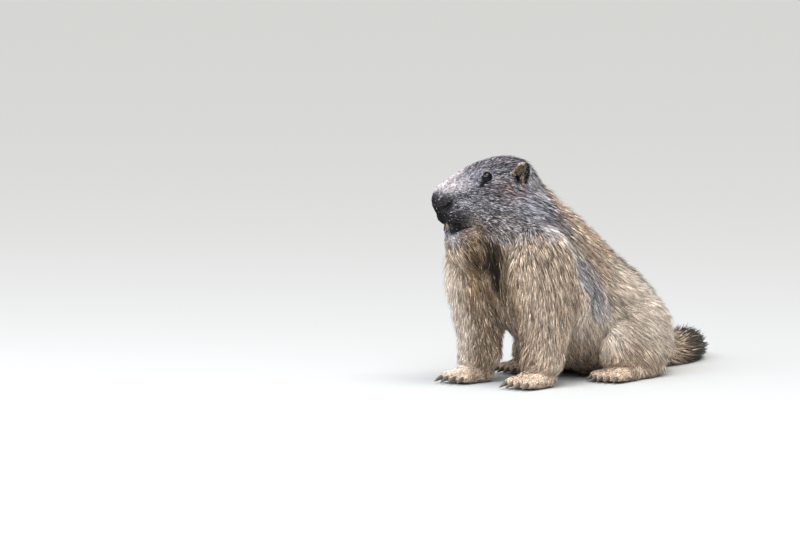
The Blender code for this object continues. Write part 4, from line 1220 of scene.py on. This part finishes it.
def wire(made, inputs):
    """Links or sets a node's inputs, given as a table or as (socket, value) pairs."""
    for key, value in dict(inputs).items():
        if isinstance(value, bpy.types.NodeSocket):
            made.id_data.links.new(value, made.inputs[key])
        else:
            made.inputs[key].default_value = value


def node(tree, kind, inputs=(), **settings):
    """Adds a node with its settings and its inputs."""
    made = tree.nodes.new(kind)
    for name, value in settings.items():
        setattr(made, name, value)
    wire(made, inputs)
    return made


def new_tree(name, kind, ins, outs):
    """A tree with named sockets, given as (name, kind) pairs, and the outputs of its input node."""
    tree = bpy.data.node_groups.new(name, kind)
    for way, sockets in (("INPUT", ins), ("OUTPUT", outs)):
        for socket, socket_kind in sockets:
            tree.interface.new_socket(socket, in_out=way, socket_type="NodeSocket" + socket_kind)
    return tree, node(tree, "NodeGroupInput").outputs


def maths(tree, operation, *values):
    return node(tree, "ShaderNodeMath", list(enumerate(values)), operation=operation).outputs[0]


def vectors(tree, operation, *values):
    made = node(tree, "ShaderNodeVectorMath", list(enumerate(values)), operation=operation)
    return made.outputs["Value" if operation in ("DOT_PRODUCT", "LENGTH", "DISTANCE") else "Vector"]


def scaled(tree, vector, factor):
    inputs = [("Vector", vector), ("Scale", factor)]
    return node(tree, "ShaderNodeVectorMath", inputs, operation="SCALE").outputs[0]


def joined_axes(tree, *values):
    return node(tree, "ShaderNodeCombineXYZ", list(enumerate(values))).outputs[0]


def named(tree, name, kind="FLOAT"):
    return node(tree, "GeometryNodeInputNamedAttribute", [("Name", name)], data_type=kind).outputs[0]


def stored(tree, geometry, name, value, kind="FLOAT", domain="POINT"):
    inputs = [("Geometry", geometry), ("Name", name), ("Value", value)]
    return node(tree, "GeometryNodeStoreNamedAttribute", inputs, data_type=kind, domain=domain).outputs[0]


def random_value(tree, low, high, seed):
    inputs = [(2, low), (3, high), ("Seed", seed)]
    return node(tree, "FunctionNodeRandomValue", inputs, data_type="FLOAT").outputs[1]


# %% Points where tufts grow
CLUMP_SEED = 5


def vector_of(tree, name):
    return named(tree, name, "FLOAT_VECTOR")


def scattered(tree, given, body):
    """Points over one region with their normals, and the points of the clumps over the whole body."""
    here = node(tree, "FunctionNodeCompare", [(2, named(tree, "region", "INT")), (3, given["Region"])],
                data_type="INT", operation="EQUAL").outputs[0]
    density = maths(tree, "MULTIPLY", named(tree, "tufts"), here)
    scatter = node(tree, "GeometryNodeDistributePointsOnFaces",
                   [("Mesh", body), ("Density", density), ("Seed", given["Seed"])]).outputs
    clumps = node(tree, "GeometryNodeDistributePointsOnFaces",
                  [("Mesh", body), ("Density", named(tree, "clumps")), ("Seed", CLUMP_SEED)]).outputs
    return scatter["Points"], scatter["Normal"], clumps["Points"]


def nearest_clump(tree, place, clumps):
    """Where the nearest clump has its tip, and the clump's shade."""
    nearest = node(tree, "GeometryNodeSampleNearest", [("Geometry", clumps)]).outputs[0]
    reach = scaled(tree, vector_of(tree, "ahead"), named(tree, "hair_length"))
    found = []
    for value, kind in ((vectors(tree, "ADD", place, reach), "FLOAT_VECTOR"),
                        (random_value(tree, 0.0, 1.0, 21), "FLOAT")):
        inputs = [("Geometry", clumps), ("Value", value), ("Index", nearest)]
        found.append(node(tree, "GeometryNodeSampleIndex", inputs, data_type=kind).outputs[0])
    return found


# %% What each tuft knows of itself
LENGTH_SPREAD = (0.55, 1.2)
WIDTH_SPREAD = (0.7, 1.25)
LIFT_SPREAD = (0.3, 1.0)
STRAY_RARITY = 6.0
STRAY_LIFT = 1.1
JITTER = 0.24


def grown(tree, points, normal, clumps):
    """The points, each with the way, the sizes, the pull and the shades of its tuft stored by name."""
    place = node(tree, "GeometryNodeInputPosition").outputs[0]
    clump_tip, clump_shade = nearest_clump(tree, place, clumps)
    length = maths(tree, "MULTIPLY", named(tree, "hair_length"), random_value(tree, *LENGTH_SPREAD, 1))
    width = maths(tree, "MULTIPLY", named(tree, "hair_width"), random_value(tree, *WIDTH_SPREAD, 2))
    stray = maths(tree, "POWER", random_value(tree, 0.0, 1.0, 3), STRAY_RARITY)
    stray_lift = maths(tree, "MULTIPLY", stray, STRAY_LIFT)
    own_lift = maths(tree, "ADD", random_value(tree, *LIFT_SPREAD, 4), stray_lift)
    lift = maths(tree, "MULTIPLY", named(tree, "hair_lift"), own_lift)
    jitter = node(tree, "FunctionNodeRandomValue", [(0, (-JITTER,) * 3), (1, (JITTER,) * 3), ("Seed", 6)],
                  data_type="FLOAT_VECTOR").outputs[0]
    ahead = vectors(tree, "NORMALIZE", vectors(tree, "ADD", vector_of(tree, "ahead"), jitter))
    own_tip = vectors(tree, "ADD", place, scaled(tree, ahead, length))
    pull = vectors(tree, "SUBTRACT", clump_tip, own_tip)
    for name, value, kind in (("root_normal", normal, "FLOAT_VECTOR"), ("root_place", place, "FLOAT_VECTOR"),
                              ("pull", pull, "FLOAT_VECTOR"), ("tuft_ahead", ahead, "FLOAT_VECTOR"),
                              ("tuft_length", length, "FLOAT"), ("tuft_width", width, "FLOAT"),
                              ("tuft_lift", lift, "FLOAT"),
                              ("shade", random_value(tree, 0.0, 1.0, 7), "FLOAT"),
                              ("clump_shade", clump_shade, "FLOAT"),
                              ("root_uv", vector_of(tree, "OFBake"), "FLOAT_VECTOR")):
        points = stored(tree, points, name, value, kind)
    return node(tree, "GeometryNodeRemoveAttribute", [("Geometry", points), ("Name", "OFBake")]).outputs[0]


# %% Plant a tuft on every point


def planted(tree, points, blade):
    """A tuft on every point, turned along its way and grown to its size, all as real mesh."""
    turn = node(tree, "FunctionNodeAxesToRotation",
                [("Primary Axis", vector_of(tree, "tuft_ahead")),
                 ("Secondary Axis", vector_of(tree, "root_normal"))],
                primary_axis="X", secondary_axis="Z").outputs[0]
    width = named(tree, "tuft_width")
    size = joined_axes(tree, named(tree, "tuft_length"), width, width)
    tufts = node(tree, "GeometryNodeInstanceOnPoints",
                 [("Points", points), ("Instance", blade), ("Rotation", turn), ("Scale", size)]).outputs[0]
    return node(tree, "GeometryNodeRealizeInstances", [("Geometry", tufts)]).outputs[0]


# %% Bend the tufts and set them to their height
SWAY_SCALE = 70.0
ROOT_SINK = 0.0003
FLOOR_CLEARANCE = 0.0002


def bent(tree, given, coat):
    """The tufts drawn to their clumps and swayed by a slow noise, more so towards their tips."""
    along = named(tree, "along")
    strength = maths(tree, "MULTIPLY", maths(tree, "POWER", along, 1.5), given["Clump Pull"])
    drawn = scaled(tree, vector_of(tree, "pull"), strength)
    noise = node(tree, "ShaderNodeTexNoise",
                 [("Vector", vector_of(tree, "root_place")), ("Scale", SWAY_SCALE), ("Detail", 2.0)])
    sway = vectors(tree, "SUBTRACT", noise.outputs["Color"], (0.5, 0.5, 0.5))
    reach = maths(tree, "MULTIPLY", named(tree, "tuft_length"), along)
    sway = scaled(tree, sway, maths(tree, "MULTIPLY", reach, given["Wander"]))
    return node(tree, "GeometryNodeSetPosition",
                [("Geometry", coat), ("Offset", vectors(tree, "ADD", drawn, sway))]).outputs[0]


def settled(tree, coat, body):
    """Every point of the tufts at its own height over the skin, and above the floor."""
    place = node(tree, "GeometryNodeInputPosition").outputs[0]
    foot = node(tree, "GeometryNodeProximity", [(0, body)], target_element="FACES").outputs["Position"]
    outwards = node(tree, "GeometryNodeSampleNearestSurface",
                    [("Mesh", body), ("Value", node(tree, "GeometryNodeInputNormal").outputs[0])],
                    data_type="FLOAT_VECTOR").outputs[0]
    outwards = vectors(tree, "NORMALIZE", outwards)
    height = vectors(tree, "DOT_PRODUCT", vectors(tree, "SUBTRACT", place, foot), outwards)
    rise = maths(tree, "MULTIPLY", named(tree, "tuft_lift"), maths(tree, "POWER", named(tree, "along"), 0.8))
    own = maths(tree, "MULTIPLY", named(tree, "section"), named(tree, "tuft_width"))
    wanted = maths(tree, "ADD", maths(tree, "SUBTRACT", rise, ROOT_SINK), own)
    offset = scaled(tree, outwards, maths(tree, "SUBTRACT", wanted, height))
    coat = node(tree, "GeometryNodeSetPosition", [("Geometry", coat), ("Offset", offset)]).outputs[0]

    place = node(tree, "GeometryNodeInputPosition").outputs[0]
    x, y, z = node(tree, "ShaderNodeSeparateXYZ", [(0, place)]).outputs
    clear = joined_axes(tree, x, y, maths(tree, "MAXIMUM", z, FLOOR_CLEARANCE))
    return node(tree, "GeometryNodeSetPosition", [("Geometry", coat), ("Position", clear)]).outputs[0]


# %% Map the tufts and drop what is used up
USED_UP = ("root_normal", "root_place", "pull", "tuft_*", "root_uv", "hair_*", "tufts", "clumps", "bare",
           "hole", "region", "section", "across", "ahead")


def mapped(tree, given, coat):
    """Each tuft as a small patch at its root's place on the skin's map, with its material."""
    patch = scaled(tree, joined_axes(tree, named(tree, "along"), named(tree, "across")), given["Patch"])
    uv = vectors(tree, "ADD", vector_of(tree, "root_uv"), patch)
    coat = stored(tree, coat, "OFBake", uv, "FLOAT2", "CORNER")
    for name in USED_UP:
        coat = node(tree, "GeometryNodeRemoveAttribute", [("Geometry", coat), ("Name", name)],
                    pattern_mode="WILDCARD" if "*" in name else "EXACT").outputs[0]
    inputs = [("Geometry", coat), ("Material", given["Material"])]
    return node(tree, "GeometryNodeSetMaterial", inputs).outputs[0]


# %% The coat's tree


def coat_tree():
    tree, given = new_tree(
        "coat", "GeometryNodeTree",
        (("Geometry", "Geometry"), ("Skin", "Object"), ("Tuft", "Object"), ("Region", "Int"), ("Seed", "Int"),
         ("Clump Pull", "Float"), ("Wander", "Float"), ("Patch", "Float"), ("Material", "Material")),
        (("Geometry", "Geometry"),))
    body = node(tree, "GeometryNodeObjectInfo", [("Object", given["Skin"])]).outputs["Geometry"]
    blade = node(tree, "GeometryNodeObjectInfo", [("Object", given["Tuft"])]).outputs["Geometry"]
    points, normal, clumps = scattered(tree, given, body)
    coat = planted(tree, grown(tree, points, normal, clumps), blade)
    coat = settled(tree, bent(tree, given, coat), body)
    node(tree, "NodeGroupOutput", [("Geometry", mapped(tree, given, coat))])
    return tree


def run_tree(obj, tree, values):
    """Puts the tree on the object with its inputs set by identifier, and keeps the result as a plain mesh."""
    modifier = obj.modifiers.new("nodes", "NODES")
    modifier.node_group = tree
    for item in tree.interface.items_tree:
        if item.item_type == "SOCKET" and item.in_out == "INPUT" and item.name in values:
            modifier[item.identifier] = values[item.name]
    return bake(obj)


coat_nodes = coat_tree()
print("the coat's tree has", len(coat_nodes.nodes), "nodes")


# %% [markdown]
# ## Colour of the hair
# A hair is dark at its root and pale towards its tip, and no two are alike. One node group makes that
# colour from the stored root and tip colours. Some hairs are all dark and some silver, by the shares of
# the markings.

# %% Hair colour group


def mixed(tree, factor, a, b, blend="MIX"):
    made = node(tree, "ShaderNodeMix", [(0, factor), (6, a), (7, b)], data_type="RGBA", blend_type=blend)
    return made.outputs[2]


def between(tree, value, low, high, start=0.0, end=1.0):
    """The value's place between low and high, carried over to start and end."""
    inputs = [(0, value), (1, low), (2, high), (3, start), (4, end)]
    return node(tree, "ShaderNodeMapRange", inputs).outputs[0]


GREY_COAT_PALE = paint(206, 202, 205)
TAN_COAT_PALE = paint(252, 234, 214)
FADE_END = 0.55
DARK_TINT = (0.22, 0.21, 0.22, 1)
DARK_STRENGTH = 0.85
PALE_STRENGTH = 0.88
OWN_LEVELS = (0.56, 1.44)
CLUMP_LEVELS = (0.66, 1.34)


def hair_colour_group():
    tree, given = new_tree(
        "Hair colour", "ShaderNodeTree",
        (("Root", "Color"), ("Tip", "Color"), ("Along", "Float"), ("Shade", "Float"),
         ("Clump Shade", "Float"), ("Dark Share", "Float"), ("Pale Share", "Float"), ("Pale", "Color")),
        (("Color", "Color"),))
    fade = between(tree, given["Along"], 0.0, FADE_END)
    base = mixed(tree, fade, given["Root"], given["Tip"])
    dark = maths(tree, "LESS_THAN", given["Shade"], given["Dark Share"])
    pale = maths(tree, "GREATER_THAN", given["Shade"], maths(tree, "SUBTRACT", 1.0, given["Pale Share"]))
    shadow = mixed(tree, 1.0, given["Root"], DARK_TINT, "MULTIPLY")
    base = mixed(tree, maths(tree, "MULTIPLY", dark, DARK_STRENGTH), base, shadow)
    pale = maths(tree, "MULTIPLY", pale, maths(tree, "MULTIPLY", fade, PALE_STRENGTH))
    base = mixed(tree, pale, base, given["Pale"])
    own = maths(tree, "FRACT", maths(tree, "MULTIPLY", given["Shade"], 37.0))
    level = maths(tree, "MULTIPLY", between(tree, own, 0.0, 1.0, *OWN_LEVELS),
                  between(tree, given["Clump Shade"], 0.0, 1.0, *CLUMP_LEVELS))
    grey = node(tree, "ShaderNodeCombineColor", [(0, level), (1, level), (2, level)]).outputs[0]
    node(tree, "NodeGroupOutput", [("Color", mixed(tree, 1.0, base, grey, "MULTIPLY"))])
    return tree


HAIR_COLOUR = hair_colour_group()
print("the hair colour group has", len(HAIR_COLOUR.nodes), "nodes")


def attribute(tree, name, output="Fac"):
    return node(tree, "ShaderNodeAttribute", attribute_name=name).outputs[output]


def new_material(name):
    made = bpy.data.materials.new(name)
    made.use_nodes = True
    return made, made.node_tree, made.node_tree.nodes["Principled BSDF"]


def plain_material(name, inputs):
    made, _, shader = new_material(name)
    wire(shader, inputs)
    return made


def grain_of(tree, scale, detail=2.0):
    """A noise that stays with the piece."""
    where = node(tree, "ShaderNodeTexCoord").outputs["Object"]
    inputs = [("Vector", where), ("Scale", scale), ("Detail", detail)]
    return node(tree, "ShaderNodeTexNoise", inputs).outputs[0]


def bumped(tree, height, strength, distance):
    inputs = [("Strength", strength), ("Distance", distance), ("Height", height)]
    return node(tree, "ShaderNodeBump", inputs)


def hair_colour(tree, pale, along, shade, clump_shade):
    """The colour of the markings, mixed by the hair colour group."""
    share = node(tree, "ShaderNodeSeparateXYZ", [(0, attribute(tree, "mix_share", "Vector"))]).outputs
    inputs = {"Root": attribute(tree, "root_colour", "Color"), "Tip": attribute(tree, "tip_colour", "Color"),
              "Along": along, "Shade": shade, "Clump Shade": clump_shade, "Dark Share": share[0],
              "Pale Share": share[1], "Pale": pale}
    return node(tree, "ShaderNodeGroup", inputs, node_tree=HAIR_COLOUR).outputs[0]


def coat_material(name, roughness, sheen, pale):
    made, tree, shader = new_material(name)
    hair = hair_colour(tree, pale, *[attribute(tree, each) for each in ("along", "shade", "clump_shade")])
    wire(shader, {"Base Color": hair, "Roughness": roughness, "Specular IOR Level": 0.22,
                  "Sheen Weight": sheen, "Sheen Roughness": 0.4})
    return made


# %% [markdown]
# ## Under the coat
# Where the tufts part, the skin shows. It takes the same colours as the hair, so that no gap looks bald, and
# a fine bump stands for the short fur between the tufts. Round the eyes, the nostrils and the lips it is
# bare, dark and a little glossier. Inside the nostrils, along the mouth's line and in the ears' canals it
# is painted almost black, as painted shade.

# %% Skin material
BARE_SKIN = paint(40, 35, 37)
# Painted shade: almost black inside the nostrils, along the mouth's line and in the ears' canals.
HOLE_SHADE = paint(12, 10, 10)


def skin_material():
    """The same markings as the coat, with the short flat fur as fine bump, dark where it is bare, and almost
    black as painted shade in the holes.
    """
    made, tree, shader = new_material("skin")
    streak = grain_of(tree, 900.0, 3.0)
    where = node(tree, "ShaderNodeTexCoord").outputs["Object"]
    pebbles = node(tree, "ShaderNodeTexVoronoi", [("Vector", where), ("Scale", 1300.0)]).outputs["Distance"]
    hair = hair_colour(tree, GREY_COAT_PALE, between(tree, streak, 0.35, 0.7, 0.0, 0.6),
                       between(tree, pebbles, 0.0, 0.8), streak)
    bare = attribute(tree, "bare")
    colours = mixed(tree, attribute(tree, "hole"), mixed(tree, bare, hair, BARE_SKIN), HOLE_SHADE)
    fine = bumped(tree, pebbles, between(tree, bare, 0.0, 1.0, 0.0, 0.6), 0.0003)
    wire(fine, {"Normal": bumped(tree, streak, 0.5, 0.0004).outputs[0]})
    wire(shader, {"Base Color": colours, "Roughness": between(tree, bare, 0.0, 1.0, 0.85, 0.55),
                  "Specular IOR Level": 0.25, "Normal": fine.outputs[0]})
    return made


skin.data.materials.clear()
skin.data.materials.append(skin_material())

# %% [markdown]
# ## One piece of coat for each region
# One coat would be too large for a single piece, so the tree runs once for each region, with its own seed.
# The cheeks have longer, more jointed tufts than the rest. Hair on the ears hardly clumps, and hair on the
# body wanders most.

# %% Grow every region
PATCH = 0.003
FIRST_SEED = 40
# By region: slot, tuft, how strongly it clumps and how far it wanders. The others are plain body coat.
COATS = {
    "face": ("coat_head", short_tuft, 0.35, 0.35), "crown": ("coat_head", short_tuft, 0.45, 0.35),
    "cheeks": ("coat_head", long_tuft, 0.5, 0.4), "ears": ("coat_ear", short_tuft, 0.2, 0.3),
    "tail": ("coat_dark", short_tuft, 0.4, 0.5),
}
materials = {
    "coat_head": coat_material("coat_head", 0.6, 0.0, GREY_COAT_PALE),
    "coat_body": coat_material("coat_body", 0.55, 0.04, TAN_COAT_PALE),
    "coat_ear": coat_material("coat_ear", 0.7, 0.0, GREY_COAT_PALE),
    "coat_dark": coat_material("coat_dark", 0.55, 0.0, TAN_COAT_PALE),
}
coats = []
for number, region in enumerate(REGIONS):
    slot, blade, pull, wander = COATS.get(region, ("coat_body", short_tuft, 0.45, 0.5))
    coat = add_object("coat_" + region, bpy.data.meshes.new("coat_" + region))
    run_tree(coat, coat_nodes, {"Skin": skin, "Tuft": blade, "Region": number, "Seed": FIRST_SEED + number,
                                "Clump Pull": pull, "Wander": wander, "Patch": PATCH,
                                "Material": materials[slot]})
    coat["slot"] = slot
    coats.append(coat)
    print(coat.name, triangles_in(coat), "triangles")
bpy.data.objects.remove(long_tuft)
bpy.data.objects.remove(short_tuft)

# %% [markdown]
# ## Eyes, claws and teeth
# The eye is a smooth, almost black ball with a wet gloss. Claws are horn, and the two upper incisors show
# a sliver of orange enamel between the lips.

# %% Eyes
eye_finish = plain_material("eye", {"Base Color": paint(6, 5, 6), "Roughness": 0.12, "IOR": 1.4,
                                    "Specular IOR Level": 0.34})
pieces = []


def dressed(obj, finish):
    """Moves a piece from the animal's frame to the shared one and gives it its finish."""
    obj.data.transform(Matrix.Translation(SHIFT * MM))
    obj.data.shade_smooth()
    obj.data.materials.append(finish)
    pieces.append(obj)


for side, word in ((1, "left"), (-1, "right")):
    ball = ellipsoid(f"eyeball_{word}", eye_centre(side), (EYE_RADIUS,) * 3, None, 5)
    dressed(ball, eye_finish)
    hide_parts(f"eye_{word}")

# %% Claws
CLAW_BASE_RISE = 1.2
CLAW_BEND = 3.9
CLAW_SHARES = ((0.0, 0.9), (0.4, 1.0), (0.78, 0.55), (1.0, 0.14))


def horn_material():
    made, tree, shader = new_material("horn")
    grain = grain_of(tree, 420.0, 4.0)
    colours = mixed(tree, grain, paint(58, 50, 46), paint(110, 98, 88))
    wire(shader, {"Base Color": colours, "Roughness": 0.38,
                  "Normal": bumped(tree, grain, 0.3, 0.0002).outputs[0]})
    return made


def claw_form(root, tip, length):
    """A claw: a tapered horn that leaves the toe's tip and bends down to the floor."""
    ahead = (tip - root).normalized()
    start = tip - ahead * CLAW_ROOT + Vector((0, 0, CLAW_BASE_RISE))
    rows = []
    for share, size in CLAW_SHARES:
        place = start + ahead * length * share + Vector((0, 0, -CLAW_BEND * share ** 1.7))
        rows.append((place.x, place.y, place.z, CLAW_RADIUS * size * 0.8, CLAW_RADIUS * size))
    return loft("claw", rows, sides=14, steps=5)


toes = all_toes()
claws = joined("claws", [claw_form(root, tip, length) for _, root, tip, _, length in toes])
dressed(claws, horn_material())
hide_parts(*[toe[0] for toe in toes])
print("claws", len(toes))

# %% Incisors


def enamel_material():
    made, tree, shader = new_material("enamel")
    stain = mixed(tree, grain_of(tree, 300.0), paint(122, 86, 54), paint(154, 120, 82))
    wire(shader, {"Base Color": stain, "Roughness": 0.25, "Coat Weight": 0.4})
    return made


TOOTH_WIDTH = 7.0
TOOTH_THICK = 2.4
TOOTH_TOP = 180.0
TOOTH_LENGTH = 11.5
TOOTH_S = 13.5
TOOTH_GAP = 0.12
TOOTH_LEAN = 1.5
TOOTH_SIDES = 16


def incisor_form(side):
    """One upper incisor, rounded in front and worn to a chisel edge."""
    rings = []
    for share in (0.0, 0.3, 0.6, 0.8, 0.92, 1.0):
        z = TOOTH_TOP - TOOTH_LENGTH * share
        ring = []
        for k in range(TOOTH_SIDES):
            c, n = superellipse(2 * math.pi * k / TOOTH_SIDES, 2.8)
            w = side * TOOTH_WIDTH / 4 + c * (TOOTH_WIDTH / 4 - TOOTH_GAP) * (1 - 0.12 * share)
            thin = 1.0 if share < 0.85 else 0.55
            s = TOOTH_S + TOOTH_LEAN * share + TOOTH_THICK / 2 + n * TOOTH_THICK / 2 * thin
            ring.append(head_point(s, w, z))
        rings.append(ring)
    return bridged("incisor", rings)


incisors = joined("upper_incisors", [incisor_form(1), incisor_form(-1)])
dressed(incisors, enamel_material())
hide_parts("incisors")

# %% [markdown]
# ## Whiskers
# Long stiff hairs grow in rows from each whisker pad. Each is a thin tapered tube that leaves the pad
# sideways and bends back and down.

# %% Whiskers
WHISKER_HEIGHTS = (189.0, 185.5, 182.0, 178.5)
WHISKERS_IN_ROW = 4
WHISKER_RADIUS = 0.3
WHISKER_SINK = 1.8
WHISKER_SEED = 7


def whisker(side, s, z, length, droop):
    """One whisker, rooted just under the surface of the pad."""
    s_share = (s - WHISKER_PAD[0]) / WHISKER_PAD_RADII[0]
    z_share = (z - WHISKER_PAD[2]) / WHISKER_PAD_RADII[2]
    out = math.sqrt(max(1 - s_share ** 2 - z_share ** 2, 0.05))
    w = WHISKER_PAD[1] + WHISKER_PAD_RADII[1] * out - WHISKER_SINK
    rows = []
    for share in (0.0, 0.2, 0.45, 0.7, 0.88, 1.0):
        reach = length * share
        place = head_point(s + 0.35 * reach + 0.42 * reach * share,
                           (w + 0.8 * reach * (1 - 0.35 * share)) * side,
                           z + 0.04 * reach - droop * reach * share)
        radius = WHISKER_RADIUS * (1.0 - 0.85 * share)
        rows.append((*place, radius, radius))
    return loft("whisker", rows, sides=5, steps=3)


draw = np.random.default_rng(WHISKER_SEED)
whisker_list = []
for side in (1, -1):
    for row, z in enumerate(WHISKER_HEIGHTS):
        for i in range(WHISKERS_IN_ROW):
            s = 13.0 + 3.8 * i + draw.uniform(-0.8, 0.8)
            length = (26 + 5.0 * i + 1.5 * row) * draw.uniform(0.85, 1.12)
            droop = 0.10 + 0.07 * row + draw.uniform(-0.05, 0.05)
            whisker_list.append(whisker(side, s, z + draw.uniform(-0.6, 0.6), length, droop))
whiskers = joined("whiskers", whisker_list)
dressed(whiskers, plain_material("whisker", {"Base Color": paint(30, 27, 27), "Roughness": 0.4}))
print("whiskers", len(whisker_list))

# %% [markdown]
# ## Hand over to the frame
# Every piece says which body carries it, and the solids it stands for are hidden. Each piece of coat also
# says which slot its finish comes from.

# %% Ride, replace and finish
FLESH = [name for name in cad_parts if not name.startswith(("eye", "claw", "incisors"))]
for name in ("ahead", "hair_length", "hair_width", "hair_lift", "tufts", "clumps", "region"):
    skin.data.attributes.remove(skin.data.attributes[name])
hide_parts(*FLESH)
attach(skin, "root")
for coat in coats:
    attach(coat, "root")
for piece in pieces:
    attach(piece, "root")
